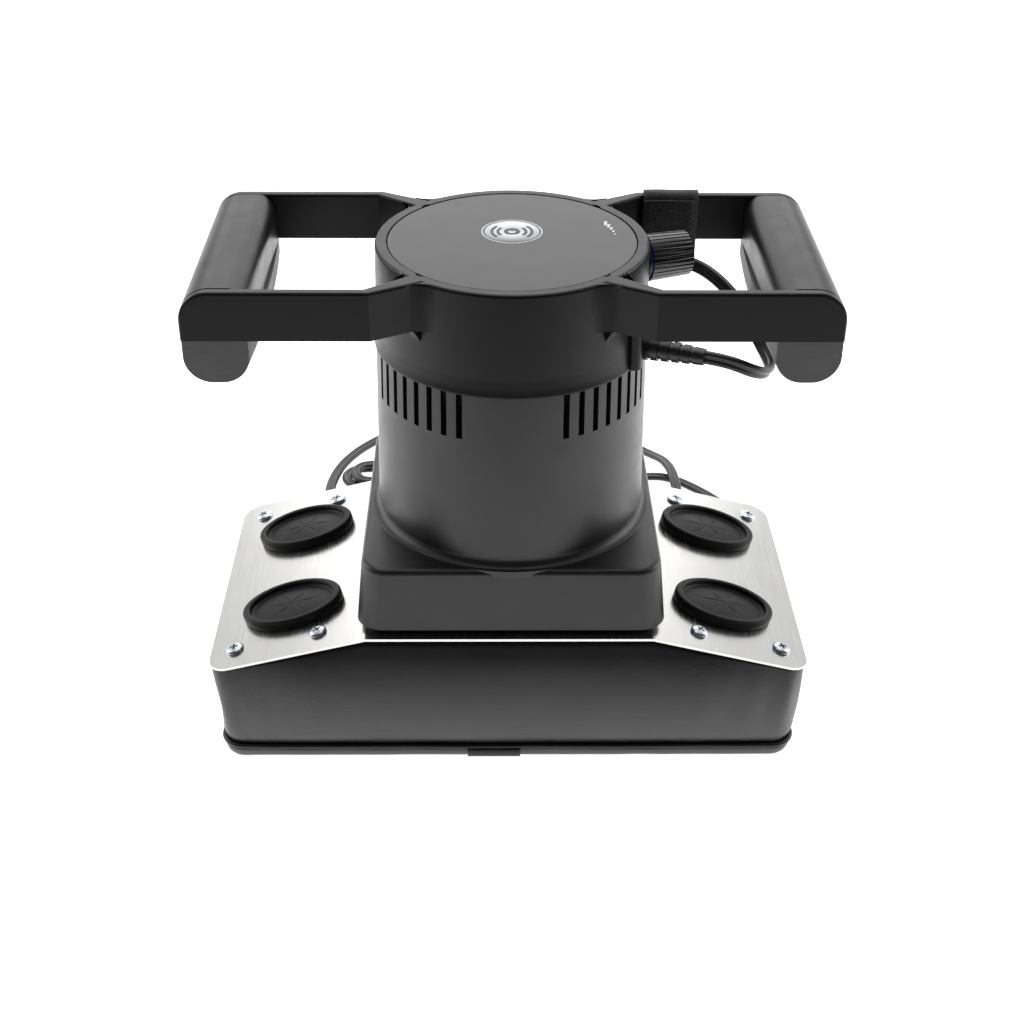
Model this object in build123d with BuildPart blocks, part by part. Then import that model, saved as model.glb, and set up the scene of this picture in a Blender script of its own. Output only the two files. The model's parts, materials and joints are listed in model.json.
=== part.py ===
"""Two-handled orbital massager: a motor in a moulded housing drives a padded plate round a small circle.

Millimetres, +Z up, +X to the operator's right, +Y away from the front.
The origin is on the floor, under the motor's axis.
"""
from build123d import *
from math import cos, sin, tan, pi, radians, degrees, atan2
import os

os.makedirs("parts", exist_ok=True)

# ---- driving dimensions ----
# handles and upper housing
handle_half_length = 163.9
handle_half_width = 68.6
arm_thickness = 6.0
arm_bottom = 255.1
deck_top = 280.8
grip_inner_x = 129.8
grip_outer_round = 15.5
grip_inner_round = 10.0
lower_grip_depth = 22.9
ring_radius = 71.5
skirt_radius = 72.7
skirt_bottom = 225.5
wall = 3.0
# motor housing and its square base
tub_radius_top = 72.6
tub_radius_foot = 74.4
base_top = 125.2
base_bottom = 88.9
base_half_x = 82.2
base_half_y = 80.2
base_flare = 1.7
# vibrating plate and pad
orbit_x = -1.2
orbit_y = -1.0
plate_top = 85.5
plate_thickness = 1.5
plate_half_x = 165.4
plate_half_y = 84.5
plate_corner = 12.0
bend_x = 78.0
wing_angle = 14.4
grommet_x = 121.2
grommet_y = 40.0
cover_thickness = 1.2
board_thickness = 9.0
pad_foot_half_x = 161.3
pad_foot_half_y = 83.8
panel_height = 10.0
strap_thickness = 1.5
# motor and drive line
shaft_radius_low = 6.0
shaft_radius_high = 5.0
running_gap = 0.03
bush_x = 58.0
bush_y = 56.0
# speed knob
knob_azimuth = 18.0
knob_height = 260.5
# cord
relief_azimuth = -21.5
relief_height = 232.0
guard_azimuth = -31.0
cord_diameter = 5.4

orbit_azimuth = degrees(atan2(orbit_y, orbit_x))
wing_slope = tan(radians(wing_angle))
plate_centre = (orbit_x, orbit_y)
quadrants = ((1, 1), (-1, 1), (-1, -1), (1, -1))


def at_azimuth(radius, azimuth, z=0.0):
    """The point at a radius and azimuth about the motor's axis."""
    return (radius * cos(radians(azimuth)), radius * sin(radians(azimuth)), z)


def plate_height(x):
    """Height of the plate's top face at a distance x from the plate's centre line."""
    return plate_top - max(0.0, abs(x) - bend_x) * wing_slope


def radial_plane(radius, azimuth, z):
    """A plane facing outwards from the motor's axis."""
    return Plane(origin=at_azimuth(radius, azimuth, z), x_dir=(0, 0, 1), z_dir=at_azimuth(1, azimuth))


def wing_plane(x, y, lift=0.0):
    """A plane on a wing of the plate, at x, y from the plate's centre, facing along the wing's normal."""
    side = 1 if x > 0 else -1
    tilt = radians(wing_angle) * side
    normal = (sin(tilt), 0, cos(tilt))
    foot = (orbit_x + x, orbit_y + y, plate_height(x))
    origin = tuple(foot[i] + normal[i] * lift for i in range(3))
    return Plane(origin=origin, x_dir=(cos(tilt), 0, -sin(tilt)), z_dir=normal)


# ---- upper housing with its two arms and grips ----
arm_height = deck_top - arm_bottom
arm_inner = handle_half_width - arm_thickness
knee_outer = (70.5, handle_half_width)
knee_inner = (73.2, arm_inner)
junction_outer = (43.0, 53.5)
junction_inner = (50.0, 45.1)
cover_recess = 65.5
cover_seat = 277.5
deck_opening = 60.0
frame_screw_radius = 63.0
grip_screw_y = 40.0
grip_mid_x = (grip_inner_x + handle_half_length) / 2

with BuildPart() as handle_frame:
    # the long sides, rounded at their outer top corners
    with BuildSketch(Plane.XZ) as side_profile:
        with Locations((0, (arm_bottom + deck_top) / 2)):
            Rectangle(2 * handle_half_length, arm_height)
        fillet(side_profile.vertices().group_by(Axis.Y)[-1], grip_outer_round)
    extrude(amount=handle_half_width, both=True)
    # the finger gaps and the clearance around the ring
    with BuildSketch(Plane.XY.offset(arm_bottom - 1)):
        with BuildLine():
            Polyline((handle_half_length - wall, -arm_inner), (handle_half_length - wall, arm_inner),
                     knee_inner, junction_inner, (junction_inner[0], -junction_inner[1]),
                     (knee_inner[0], -arm_inner), close=True)
        make_face()
        mirror(about=Plane.YZ)
    extrude(amount=arm_height + 2, mode=Mode.SUBTRACT)
    with BuildSketch(Plane.XY.offset(arm_bottom - 1)):
        with BuildLine():
            Polyline((knee_outer[0], 80), knee_outer, junction_outer, (-junction_outer[0], junction_outer[1]),
                     (-knee_outer[0], handle_half_width), (-knee_outer[0], 80), close=True)
        make_face()
        mirror(about=Plane.XZ)
    extrude(amount=arm_height + 2, mode=Mode.SUBTRACT)
    # soft top edges on the arms
    fillet(handle_frame.edges().group_by(Axis.Z)[-1], 1.6)
    # the cross grips: rounded shells, open below
    with BuildSketch(Plane.XZ.offset(-arm_inner)):
        with BuildLine():
            FilletPolyline((grip_inner_x, arm_bottom), (grip_inner_x, deck_top),
                           (handle_half_length, deck_top), (handle_half_length, arm_bottom),
                           radius=[grip_inner_round, grip_outer_round])
            Line((handle_half_length, arm_bottom), (grip_inner_x, arm_bottom))
        make_face()
        mirror(about=Plane.YZ)
    extrude(amount=2 * arm_inner)
    with BuildSketch(Plane.XZ.offset(-arm_inner + wall)):
        with BuildLine():
            FilletPolyline((grip_inner_x + wall, arm_bottom), (grip_inner_x + wall, deck_top - wall),
                           (handle_half_length - wall, deck_top - wall), (handle_half_length - wall, arm_bottom),
                           radius=[grip_inner_round - wall, grip_outer_round - wall])
            Line((handle_half_length - wall, arm_bottom), (grip_inner_x + wall, arm_bottom))
        make_face()
        mirror(about=Plane.YZ)
    extrude(amount=2 * (arm_inner - wall), mode=Mode.SUBTRACT)
    # screw posts inside the grips
    with BuildSketch(Plane.XY.offset(arm_bottom)):
        with Locations(*[(sx * grip_mid_x, sy * grip_screw_y) for sx, sy in quadrants]):
            Circle(4.5)
            Circle(1.9, mode=Mode.SUBTRACT)
    extrude(amount=deck_top - 2 - arm_bottom)
    # the ring, its deck and the recess for the cover
    with BuildSketch(Plane.XY.offset(arm_bottom - 5)):
        Circle(70)
    extrude(amount=arm_height + 10, mode=Mode.SUBTRACT)
    with BuildSketch(Plane.XZ) as ring_profile:
        with BuildLine():
            Polyline((skirt_radius - wall, skirt_bottom), (skirt_radius, skirt_bottom), (ring_radius, deck_top),
                     (cover_recess, deck_top), (cover_recess, cover_seat), (deck_opening, cover_seat),
                     (deck_opening, cover_seat - wall), (ring_radius - wall, cover_seat - wall), close=True)
        make_face()
        fillet(ring_profile.vertices().sort_by_distance((ring_radius, deck_top))[0], 1.8)
    revolve(axis=Axis.Z)
    # webs under the arms where they leave the ring
    for azimuth in (48, 132, 228, 312):
        web_plane = Plane(origin=(0, 0, 0), x_dir=at_azimuth(1, azimuth), z_dir=at_azimuth(1, azimuth - 90))
        with BuildSketch(web_plane):
            with BuildLine():
                Polyline((70.5, 246), (76.5, 255.2), (70.5, 255.2), close=True)
            make_face()
        extrude(amount=2.5, both=True)
    # posts under the deck for the long screws, and the screws' seats
    with BuildSketch(Plane.XY.offset(238)):
        with PolarLocations(frame_screw_radius, 4, 45):
            Circle(5)
    extrude(amount=cover_seat - 238)
    with Locations(Plane.XY.offset(cover_seat)):
        with PolarLocations(frame_screw_radius, 4, 45):
            CounterBoreHole(radius=2.1, counter_bore_radius=4.0, counter_bore_depth=3.0, depth=60)
    # cord guard beside the strain relief
    with BuildSketch(Plane.XY.offset(skirt_bottom)):
        with Locations(at_azimuth(73.6, guard_azimuth)[:2]):
            Circle(4)
    extrude(amount=25)
    with BuildSketch(Plane.XY.offset(skirt_bottom)):
        Circle(ring_radius - wall)
    extrude(amount=cover_seat - wall - skirt_bottom, mode=Mode.SUBTRACT)
    with BuildSketch(Plane.XY.offset(238)):
        with PolarLocations(frame_screw_radius, 4, 45):
            Circle(5)
            Circle(2.1, mode=Mode.SUBTRACT)
    extrude(amount=cover_seat - 3 - 238)
    # holes for the speed control's bush and for the strain relief
    with BuildSketch(radial_plane(60, knob_azimuth, knob_height)):
        Circle(3.6)
    extrude(amount=20, mode=Mode.SUBTRACT)
    with BuildSketch(radial_plane(60, relief_azimuth, relief_height)):
        Circle(4.5)
    extrude(amount=20, mode=Mode.SUBTRACT)
handle_frame.part.label = "handle_frame"
export_step(handle_frame.part, "parts/handle_frame.step")

with BuildPart() as top_cover:
    with BuildSketch(Plane.XY.offset(cover_seat)):
        Circle(cover_recess - 0.5)
    extrude(amount=deck_top - 0.2 - cover_seat)
    fillet(top_cover.edges().group_by(Axis.Z)[-1], 0.5)
top_cover.part.label = "top_cover"
export_step(top_cover.part, "parts/top_cover.step")

tick_azimuths = (7.5, 11.5, 15.5, 19.5, 23.5)
with BuildPart() as speed_scale_marks:
    for step, azimuth in enumerate(tick_azimuths):
        with BuildSketch(Plane.XY.offset(deck_top - 0.2)):
            with Locations(Location(at_azimuth(54.5, azimuth)[:2] + (0,), azimuth + 62)):
                Rectangle(1.6 + 1.1 * step, 0.9 + 0.2 * step)
        extrude(amount=0.15)
speed_scale_marks.part.label = "speed_scale_marks"
export_step(speed_scale_marks.part, "parts/speed_scale_marks.step")


def lower_grip_form(side, inset):
    """The palm side of a grip: straight outside, slightly bowed inside, round below."""
    outer_x = side * (handle_half_length - 0.6 - inset)
    inner_x = side * (grip_inner_x + 0.8 + inset)
    bow_x = side * (grip_inner_x - 1.8 + inset)
    end_y = handle_half_width - 0.5 - inset
    with BuildPart(mode=Mode.PRIVATE) as form:
        with BuildSketch(Plane.XY.offset(arm_bottom)):
            with BuildLine():
                Polyline((inner_x, end_y), (outer_x, end_y), (outer_x, -end_y), (inner_x, -end_y))
                ThreePointArc((inner_x, -end_y), (bow_x, 0), (inner_x, end_y))
            make_face()
        extrude(amount=-(lower_grip_depth - inset))
        bottom = form.edges().group_by(Axis.Z)[0]
        fillet(bottom.filter_by(lambda e: abs(e.center().Y) < 5), 14.0 - inset)
    return form.part


grip_head_seat = arm_bottom - 14.0
lower_grips = {}
for side_name, side in (("left", -1), ("right", 1)):
    with BuildPart() as lower_grip:
        add(lower_grip_form(side, 0))
        add(lower_grip_form(side, wall), mode=Mode.SUBTRACT)
        with BuildSketch(Plane.XY.offset(arm_bottom - lower_grip_depth + 1)):
            with Locations(*[(side * grip_mid_x, sy * grip_screw_y) for sy in (-1, 1)]):
                Circle(6)
        extrude(amount=lower_grip_depth - 1)
        with BuildSketch(Plane.XY.offset(arm_bottom - lower_grip_depth - 1)):
            with Locations(*[(side * grip_mid_x, sy * grip_screw_y) for sy in (-1, 1)]):
                Circle(4)
        extrude(amount=grip_head_seat - arm_bottom + lower_grip_depth + 1, mode=Mode.SUBTRACT)
        with BuildSketch(Plane.XY.offset(grip_head_seat - 1)):
            with Locations(*[(side * grip_mid_x, sy * grip_screw_y) for sy in (-1, 1)]):
                Circle(1.9)
        extrude(amount=20, mode=Mode.SUBTRACT)
    lower_grip.part.label = f"lower_grip_{side_name}"
    export_step(lower_grip.part, f"parts/lower_grip_{side_name}.step")
    lower_grips[side_name] = lower_grip.part

with BuildPart() as grip_screws:
    with BuildSketch(Plane.XY.offset(grip_head_seat - 2.4)):
        with Locations(*[(sx * grip_mid_x, sy * grip_screw_y) for sx, sy in quadrants]):
            Circle(3.6)
    extrude(amount=2.4)
    with BuildSketch(Plane.XY.offset(grip_head_seat)):
        with Locations(*[(sx * grip_mid_x, sy * grip_screw_y) for sx, sy in quadrants]):
            Circle(1.9)
    extrude(amount=26)
grip_screws.part.label = "grip_screws"
export_step(grip_screws.part, "parts/grip_screws.step")

# ---- motor housing: a round tub on a square base, one moulding ----
spigot_radius = 69.2
spigot_top = 235.0
tub_inner = 69.4
web_bottom = 121.0
web_top = 125.0
cove_radius = 5.0
slot_width = 3.4
slot_bottom = 199.8
rib_inner = 45.0
rib_bottom = 160.0
rib_top = 210.0
bearing_seat_radius = 16.0
base_screw_x = 71.0
base_screw_y = 69.0

with BuildPart() as motor_housing:
    # base with drafted sides and a rounded top edge
    with BuildSketch(Plane.XY.offset(base_bottom)):
        RectangleRounded(2 * (base_half_x + base_flare), 2 * (base_half_y + base_flare), 14)
    with BuildSketch(Plane.XY.offset(base_top)):
        RectangleRounded(2 * (base_half_x - base_flare), 2 * (base_half_y - base_flare), 14)
    loft()
    fillet(motor_housing.edges().group_by(Axis.Z)[-1], 3.2)
    # hollow below the web
    with BuildSketch(Plane.XY.offset(base_bottom)):
        RectangleRounded(2 * (base_half_x - base_flare - wall), 2 * (base_half_y - base_flare - wall), 11)
    extrude(amount=web_bottom - base_bottom, mode=Mode.SUBTRACT)
    # recess for the base plate
    with BuildSketch(Plane.XY.offset(base_bottom)):
        RectangleRounded(2 * (base_half_x - 1.5), 2 * (base_half_y - 1.5), 12.5)
    extrude(amount=4.0, mode=Mode.SUBTRACT)
    # the tub with its cove at the foot and its spigot at the top
    with BuildSketch(Plane.XZ):
        with BuildLine():
            Polyline((0, web_bottom), (tub_radius_foot + cove_radius, web_bottom),
                     (tub_radius_foot + cove_radius, base_top))
            RadiusArc((tub_radius_foot + cove_radius, base_top), (tub_radius_foot, base_top + cove_radius),
                      cove_radius)
            Polyline((tub_radius_foot, base_top + cove_radius), (tub_radius_top, skirt_bottom),
                     (spigot_radius, skirt_bottom), (spigot_radius, spigot_top), (0, spigot_top), (0, web_bottom))
        make_face()
    revolve(axis=Axis.Z)
    with BuildSketch(Plane.XZ):
        with BuildLine():
            Polyline((0, web_top), (tub_inner, web_top), (tub_inner, skirt_bottom - 4), (66.5, skirt_bottom - 1),
                     (66.5, spigot_top + 1), (0, spigot_top + 1), close=True)
        make_face()
    revolve(axis=Axis.Z, mode=Mode.SUBTRACT)
    # lower bearing seat on the web
    with BuildSketch(Plane.XY.offset(web_bottom)):
        Circle(bearing_seat_radius + 5)
    extrude(amount=134 - web_bottom)
    with BuildSketch(Plane.XY.offset(web_bottom)):
        Circle(12)
    extrude(amount=20, mode=Mode.SUBTRACT)
    with BuildSketch(Plane.XY.offset(124)):
        Circle(bearing_seat_radius)
    extrude(amount=20, mode=Mode.SUBTRACT)
    # ribs that hold the stator
    with BuildSketch(Plane.XY.offset(web_top - 1)):
        with PolarLocations((rib_inner + tub_inner + 1) / 2, 4):
            Rectangle(tub_inner + 1 - rib_inner, 5)
    extrude(amount=rib_top - web_top + 1)
    # pads for the long screws
    with BuildSketch(Plane.XY.offset(212)):
        with PolarLocations(frame_screw_radius, 4, 45):
            Circle(5)
    extrude(amount=spigot_top - 212)
    with BuildSketch(Plane.XY.offset(214)):
        with PolarLocations(frame_screw_radius, 4, 45):
            Circle(1.9)
    extrude(amount=30, mode=Mode.SUBTRACT)
    # corner posts for the base plate's screws
    with BuildSketch(Plane.XY.offset(92.9)):
        with Locations(*[(sx * base_screw_x, sy * base_screw_y) for sx, sy in quadrants]):
            Circle(5)
            Circle(1.9, mode=Mode.SUBTRACT)
    extrude(amount=web_bottom - 92.9)
    # four groups of cooling slots that run up under the skirt
    for middle in (90, 270):
        for hand in (-1, 1):
            for step in range(8):
                azimuth = middle + hand * (22.0 + step * 6.93)
                with BuildSketch(radial_plane(62, azimuth, (slot_bottom + 231) / 2)):
                    Rectangle(231 - slot_bottom, slot_width)
                extrude(amount=16, mode=Mode.SUBTRACT)
    # hole for the strain relief
    with BuildSketch(radial_plane(60, relief_azimuth, relief_height)):
        Circle(4.5)
    extrude(amount=20, mode=Mode.SUBTRACT)
motor_housing.part.label = "motor_housing"
export_step(motor_housing.part, "parts/motor_housing.step")

with BuildPart() as frame_screws:
    with BuildSketch(Plane.XY.offset(cover_seat - 3)):
        with PolarLocations(frame_screw_radius, 4, 45):
            Circle(3.8)
    extrude(amount=2.6)
    with BuildSketch(Plane.XY.offset(218)):
        with PolarLocations(frame_screw_radius, 4, 45):
            Circle(1.9)
    extrude(amount=cover_seat - 3 - 218)
frame_screws.part.label = "frame_screws"
export_step(frame_screws.part, "parts/frame_screws.step")

bush_outer = 11.0
bush_bore = 6.0
pin_radius = 4.0
with BuildPart() as base_plate:
    with BuildSketch(Plane.XY.offset(base_bottom)):
        RectangleRounded(2 * (base_half_x - 1.5), 2 * (base_half_y - 1.5), 12.5)
        Circle(30, mode=Mode.SUBTRACT)
        with Locations(*[(sx * bush_x, sy * bush_y) for sx, sy in quadrants]):
            Circle(bush_outer, mode=Mode.SUBTRACT)
        with Locations(*[(sx * base_screw_x, sy * base_screw_y) for sx, sy in quadrants]):
            Circle(1.9, mode=Mode.SUBTRACT)
    extrude(amount=4)
    with BuildSketch(Plane.XY.offset(base_bottom)):
        with Locations(*[(sx * base_screw_x, sy * base_screw_y) for sx, sy in quadrants]):
            Circle(4)
    extrude(amount=2, mode=Mode.SUBTRACT)
base_plate.part.label = "base_plate"
export_step(base_plate.part, "parts/base_plate.step")

with BuildPart() as base_screws:
    with BuildSketch(Plane.XY.offset(base_bottom + 0.2)):
        with Locations(*[(sx * base_screw_x, sy * base_screw_y) for sx, sy in quadrants]):
            Circle(3.8)
    extrude(amount=1.8)
    with BuildSketch(Plane.XY.offset(base_bottom + 2)):
        with Locations(*[(sx * base_screw_x, sy * base_screw_y) for sx, sy in quadrants]):
            Circle(1.9)
    extrude(amount=20)
base_screws.part.label = "base_screws"
export_step(base_screws.part, "parts/base_screws.step")

with BuildPart() as guide_bushes:
    with BuildSketch(Plane.XY.offset(base_bottom)):
        with Locations(*[(sx * bush_x, sy * bush_y) for sx, sy in quadrants]):
            Circle(bush_outer)
            Circle(bush_bore, mode=Mode.SUBTRACT)
    extrude(amount=10)
guide_bushes.part.label = "guide_bushes"
export_step(guide_bushes.part, "parts/guide_bushes.step")

with BuildPart() as rubber_gasket:
    with BuildSketch(Plane.XY.offset(plate_top + 0.4)):
        RectangleRounded(2 * 81, 2 * 79, 13)
        RectangleRounded(2 * 74, 2 * 72, 8, mode=Mode.SUBTRACT)
        with Locations(*[(sx * base_screw_x, sy * base_screw_y) for sx, sy in quadrants]):
            Circle(4.5, mode=Mode.SUBTRACT)
    extrude(amount=base_bottom - plate_top - 0.4)
rubber_gasket.part.label = "rubber_gasket"
export_step(rubber_gasket.part, "parts/rubber_gasket.step")

# ---- motor ----
stator_bottom = 165.0
stator_top = 205.0
with BuildPart() as stator_core:
    with BuildSketch(Plane.XY.offset(stator_bottom)):
        Circle(rib_inner)
        Circle(27.2, mode=Mode.SUBTRACT)
        # two winding windows on each side of the poles
        with PolarLocations(33.5, 2, 90):
            Rectangle(7, 40, mode=Mode.SUBTRACT)
    extrude(amount=stator_top - stator_bottom)
stator_core.part.label = "stator_core"
export_step(stator_core.part, "parts/stator_core.step")

with BuildPart() as stator_clamp_rings:
    for level in (stator_bottom - 3, stator_top):
        with BuildSketch(Plane.XY.offset(level)):
            Circle(rib_inner)
            Circle(41, mode=Mode.SUBTRACT)
        extrude(amount=3)
stator_clamp_rings.part.label = "stator_clamp_rings"
export_step(stator_clamp_rings.part, "parts/stator_clamp_rings.step")

with BuildPart() as field_windings:
    for level, height in ((stator_bottom - 9, 9), (stator_top, 6)):
        with BuildSketch(Plane.XY.offset(level)):
            Circle(40)
            Circle(29, mode=Mode.SUBTRACT)
        extrude(amount=height)
    with BuildSketch(Plane.XY.offset(stator_bottom)):
        with PolarLocations(33.5, 2, 90):
            Rectangle(6, 36)
    extrude(amount=stator_top - stator_bottom)
field_windings.part.label = "field_windings"
export_step(field_windings.part, "parts/field_windings.step")

shaft_bottom = 100.0
shaft_step = 140.0
shaft_top = 265.0
with BuildPart() as motor_shaft:
    with BuildSketch(Plane.XY.offset(shaft_bottom)):
        Circle(shaft_radius_low)
    extrude(amount=shaft_step - shaft_bottom)
    with BuildSketch(Plane.XY.offset(shaft_step)):
        Circle(shaft_radius_high)
    extrude(amount=shaft_top - shaft_step)
motor_shaft.part.label = "motor_shaft"
export_step(motor_shaft.part, "parts/motor_shaft.step")

with BuildPart() as armature_core:
    with BuildSketch(Plane.XY.offset(stator_bottom - 1)):
        Circle(26.5)
        Circle(shaft_radius_high, mode=Mode.SUBTRACT)
        with PolarLocations(22.5, 12):
            Rectangle(6, 3.2, mode=Mode.SUBTRACT)
    extrude(amount=stator_top - stator_bottom + 2)
armature_core.part.label = "armature_core"
export_step(armature_core.part, "parts/armature_core.step")

with BuildPart() as armature_windings:
    for level in (stator_bottom - 8, stator_top + 1):
        with BuildSketch(Plane.XY.offset(level)):
            Circle(24.5)
            Circle(shaft_radius_high, mode=Mode.SUBTRACT)
        extrude(amount=7 if level < stator_top else 6)
    with BuildSketch(Plane.XY.offset(stator_bottom - 1)):
        with PolarLocations(22.2, 12):
            Rectangle(4.6, 2.8)
    extrude(amount=stator_top - stator_bottom + 2)
armature_windings.part.label = "armature_windings"
export_step(armature_windings.part, "parts/armature_windings.step")

fan_bottom = 215.0
with BuildPart() as cooling_fan:
    with BuildSketch(Plane.XY.offset(fan_bottom)):
        Circle(54)
    extrude(amount=2)
    with BuildSketch(Plane.XY.offset(fan_bottom)):
        Circle(12)
    extrude(amount=12)
    with BuildSketch(Plane.XY.offset(fan_bottom + 2)):
        with PolarLocations(38, 12):
            Rectangle(28, 1.6, rotation=22)
    extrude(amount=8)
    with BuildSketch(Plane.XY.offset(fan_bottom)):
        Circle(shaft_radius_high)
    extrude(amount=12, mode=Mode.SUBTRACT)
cooling_fan.part.label = "cooling_fan"
export_step(cooling_fan.part, "parts/cooling_fan.step")

commutator_bottom = 233.0
with BuildPart() as commutator:
    with BuildSketch(Plane.XY.offset(commutator_bottom)):
        Circle(14)
        Circle(shaft_radius_high, mode=Mode.SUBTRACT)
        with PolarLocations(13.6, 24):
            Rectangle(1.6, 0.5, mode=Mode.SUBTRACT)
    extrude(amount=18)
commutator.part.label = "commutator"
export_step(commutator.part, "parts/commutator.step")

bridge_bottom = 254.0
bridge_top = 264.0
with BuildPart() as bearing_bridge:
    # a windowed plate on the tub's rim, two posts and a cross bar over the commutator
    with BuildSketch(Plane.XY.offset(spigot_top)):
        Circle(68)
        Circle(21, mode=Mode.SUBTRACT)
        with PolarLocations(45, 4, 45):
            Rectangle(28, 36, mode=Mode.SUBTRACT)
    extrude(amount=3)
    with BuildSketch(Plane.XY.offset(spigot_top)):
        with Locations((0, 33), (0, -33)):
            Rectangle(16, 8)
    extrude(amount=bridge_top - spigot_top)
    with BuildSketch(Plane.XY.offset(bridge_bottom - 2)):
        Rectangle(16, 70)
        Circle(17)
    extrude(amount=bridge_top - bridge_bottom + 2)
    with BuildSketch(Plane.XY.offset(bridge_bottom)):
        Circle(13)
    extrude(amount=8, mode=Mode.SUBTRACT)
    with BuildSketch(Plane.XY.offset(bridge_bottom - 3)):
        Circle(10)
    extrude(amount=20, mode=Mode.SUBTRACT)
    with BuildSketch(Plane.XY.offset(spigot_top)):
        with PolarLocations(frame_screw_radius, 4, 45):
            Circle(1.9)
        # room for the mains lead beside the strain relief
        with Locations(Location(at_azimuth(58, relief_azimuth)[:2] + (0,), relief_azimuth)):
            Rectangle(26, 18)
    extrude(amount=4, mode=Mode.SUBTRACT)
bearing_bridge.part.label = "bearing_bridge"
export_step(bearing_bridge.part, "parts/bearing_bridge.step")

with BuildPart() as upper_bearing:
    with BuildSketch(Plane.XY.offset(bridge_bottom)):
        Circle(13)
        Circle(shaft_radius_high + running_gap, mode=Mode.SUBTRACT)
    extrude(amount=8)
    with BuildSketch(Plane.XY.offset(bridge_bottom)):
        Circle(10.6)
        Circle(7.6, mode=Mode.SUBTRACT)
    extrude(amount=0.8, mode=Mode.SUBTRACT)
upper_bearing.part.label = "upper_bearing"
export_step(upper_bearing.part, "parts/upper_bearing.step")

with BuildPart() as lower_bearing:
    with BuildSketch(Plane.XY.offset(124)):
        Circle(bearing_seat_radius)
        Circle(shaft_radius_low + running_gap, mode=Mode.SUBTRACT)
    extrude(amount=10)
    with BuildSketch(Plane.XY.offset(133.2)):
        Circle(13)
        Circle(9, mode=Mode.SUBTRACT)
    extrude(amount=0.8, mode=Mode.SUBTRACT)
lower_bearing.part.label = "lower_bearing"
export_step(lower_bearing.part, "parts/lower_bearing.step")

with BuildPart() as brush_holders:
    with BuildSketch(Plane.XY.offset(spigot_top + 3)):
        with Locations((31, 0), (-31, 0)):
            Rectangle(26, 13)
    extrude(amount=12)
    with BuildSketch(Plane.YZ.offset(-50)):
        with Locations((0, spigot_top + 9)):
            Rectangle(8, 8)
    extrude(amount=100, mode=Mode.SUBTRACT)
brush_holders.part.label = "brush_holders"
export_step(brush_holders.part, "parts/brush_holders.step")

with BuildPart() as carbon_brushes:
    for side in (-1, 1):
        with BuildSketch(Plane.XY.offset(spigot_top + 5)):
            with Locations((side * 28.4, 0)):
                Rectangle(28, 8)
        extrude(amount=8)
carbon_brushes.part.label = "carbon_brushes"
export_step(carbon_brushes.part, "parts/carbon_brushes.step")

# ---- eccentric drive ----
hub_bottom = 99.0
hub_top = 120.0
eccentric_pin_radius = 8.5
eccentric_bearing_radius = 17.5
with BuildPart() as eccentric_hub:
    with BuildSketch(Plane.XY.offset(hub_bottom)):
        Circle(14)
    extrude(amount=hub_top - hub_bottom)
    with BuildSketch(Plane.XY.offset(88)):
        with Locations(plate_centre):
            Circle(eccentric_pin_radius - running_gap)
    extrude(amount=hub_bottom - 88)
    with BuildSketch(Plane.XY.offset(shaft_bottom)):
        Circle(shaft_radius_low)
    extrude(amount=30, mode=Mode.SUBTRACT)
eccentric_hub.part.label = "eccentric_hub"
export_step(eccentric_hub.part, "parts/eccentric_hub.step")

with BuildPart() as counterweight:
    # a half disc opposite the crank pin
    with BuildSketch(Plane.XY.offset(106)):
        Circle(42)
        Circle(14, mode=Mode.SUBTRACT)
        with Locations(Location(at_azimuth(25, orbit_azimuth)[:2] + (0,), orbit_azimuth)):
            Rectangle(50 + 0.01, 100, mode=Mode.SUBTRACT)
    extrude(amount=12)
counterweight.part.label = "counterweight"
export_step(counterweight.part, "parts/counterweight.step")

with BuildPart() as eccentric_bearing:
    with BuildSketch(Plane.XY.offset(88)):
        with Locations(plate_centre):
            Circle(eccentric_bearing_radius)
            Circle(eccentric_pin_radius, mode=Mode.SUBTRACT)
    extrude(amount=10)
eccentric_bearing.part.label = "eccentric_bearing"
export_step(eccentric_bearing.part, "parts/eccentric_bearing.step")

with BuildPart() as bearing_cup:
    with BuildSketch(Plane.XY.offset(plate_top)):
        with Locations(plate_centre):
            Circle(27)
    extrude(amount=2.5)
    with BuildSketch(Plane.XY.offset(plate_top)):
        with Locations(plate_centre):
            Circle(22)
    extrude(amount=14.5)
    with BuildSketch(Plane.XY.offset(87.5)):
        with Locations(plate_centre):
            Circle(eccentric_bearing_radius)
    extrude(amount=20, mode=Mode.SUBTRACT)
bearing_cup.part.label = "bearing_cup"
export_step(bearing_cup.part, "parts/bearing_cup.step")

with BuildPart() as guide_pins:
    with BuildSketch(Plane.XY.offset(plate_top)):
        with Locations(*[(sx * bush_x + orbit_x, sy * bush_y + orbit_y) for sx, sy in quadrants]):
            Circle(pin_radius)
    extrude(amount=13)
guide_pins.part.label = "guide_pins"
export_step(guide_pins.part, "parts/guide_pins.step")

# ---- vibrating plate ----
screw_spots = [(sx * x, sy * 69.0) for x in (105.0, 151.3) for sx, sy in quadrants]
grommet_spots = [(sx * grommet_x, sy * grommet_y) for sx, sy in quadrants]


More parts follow.
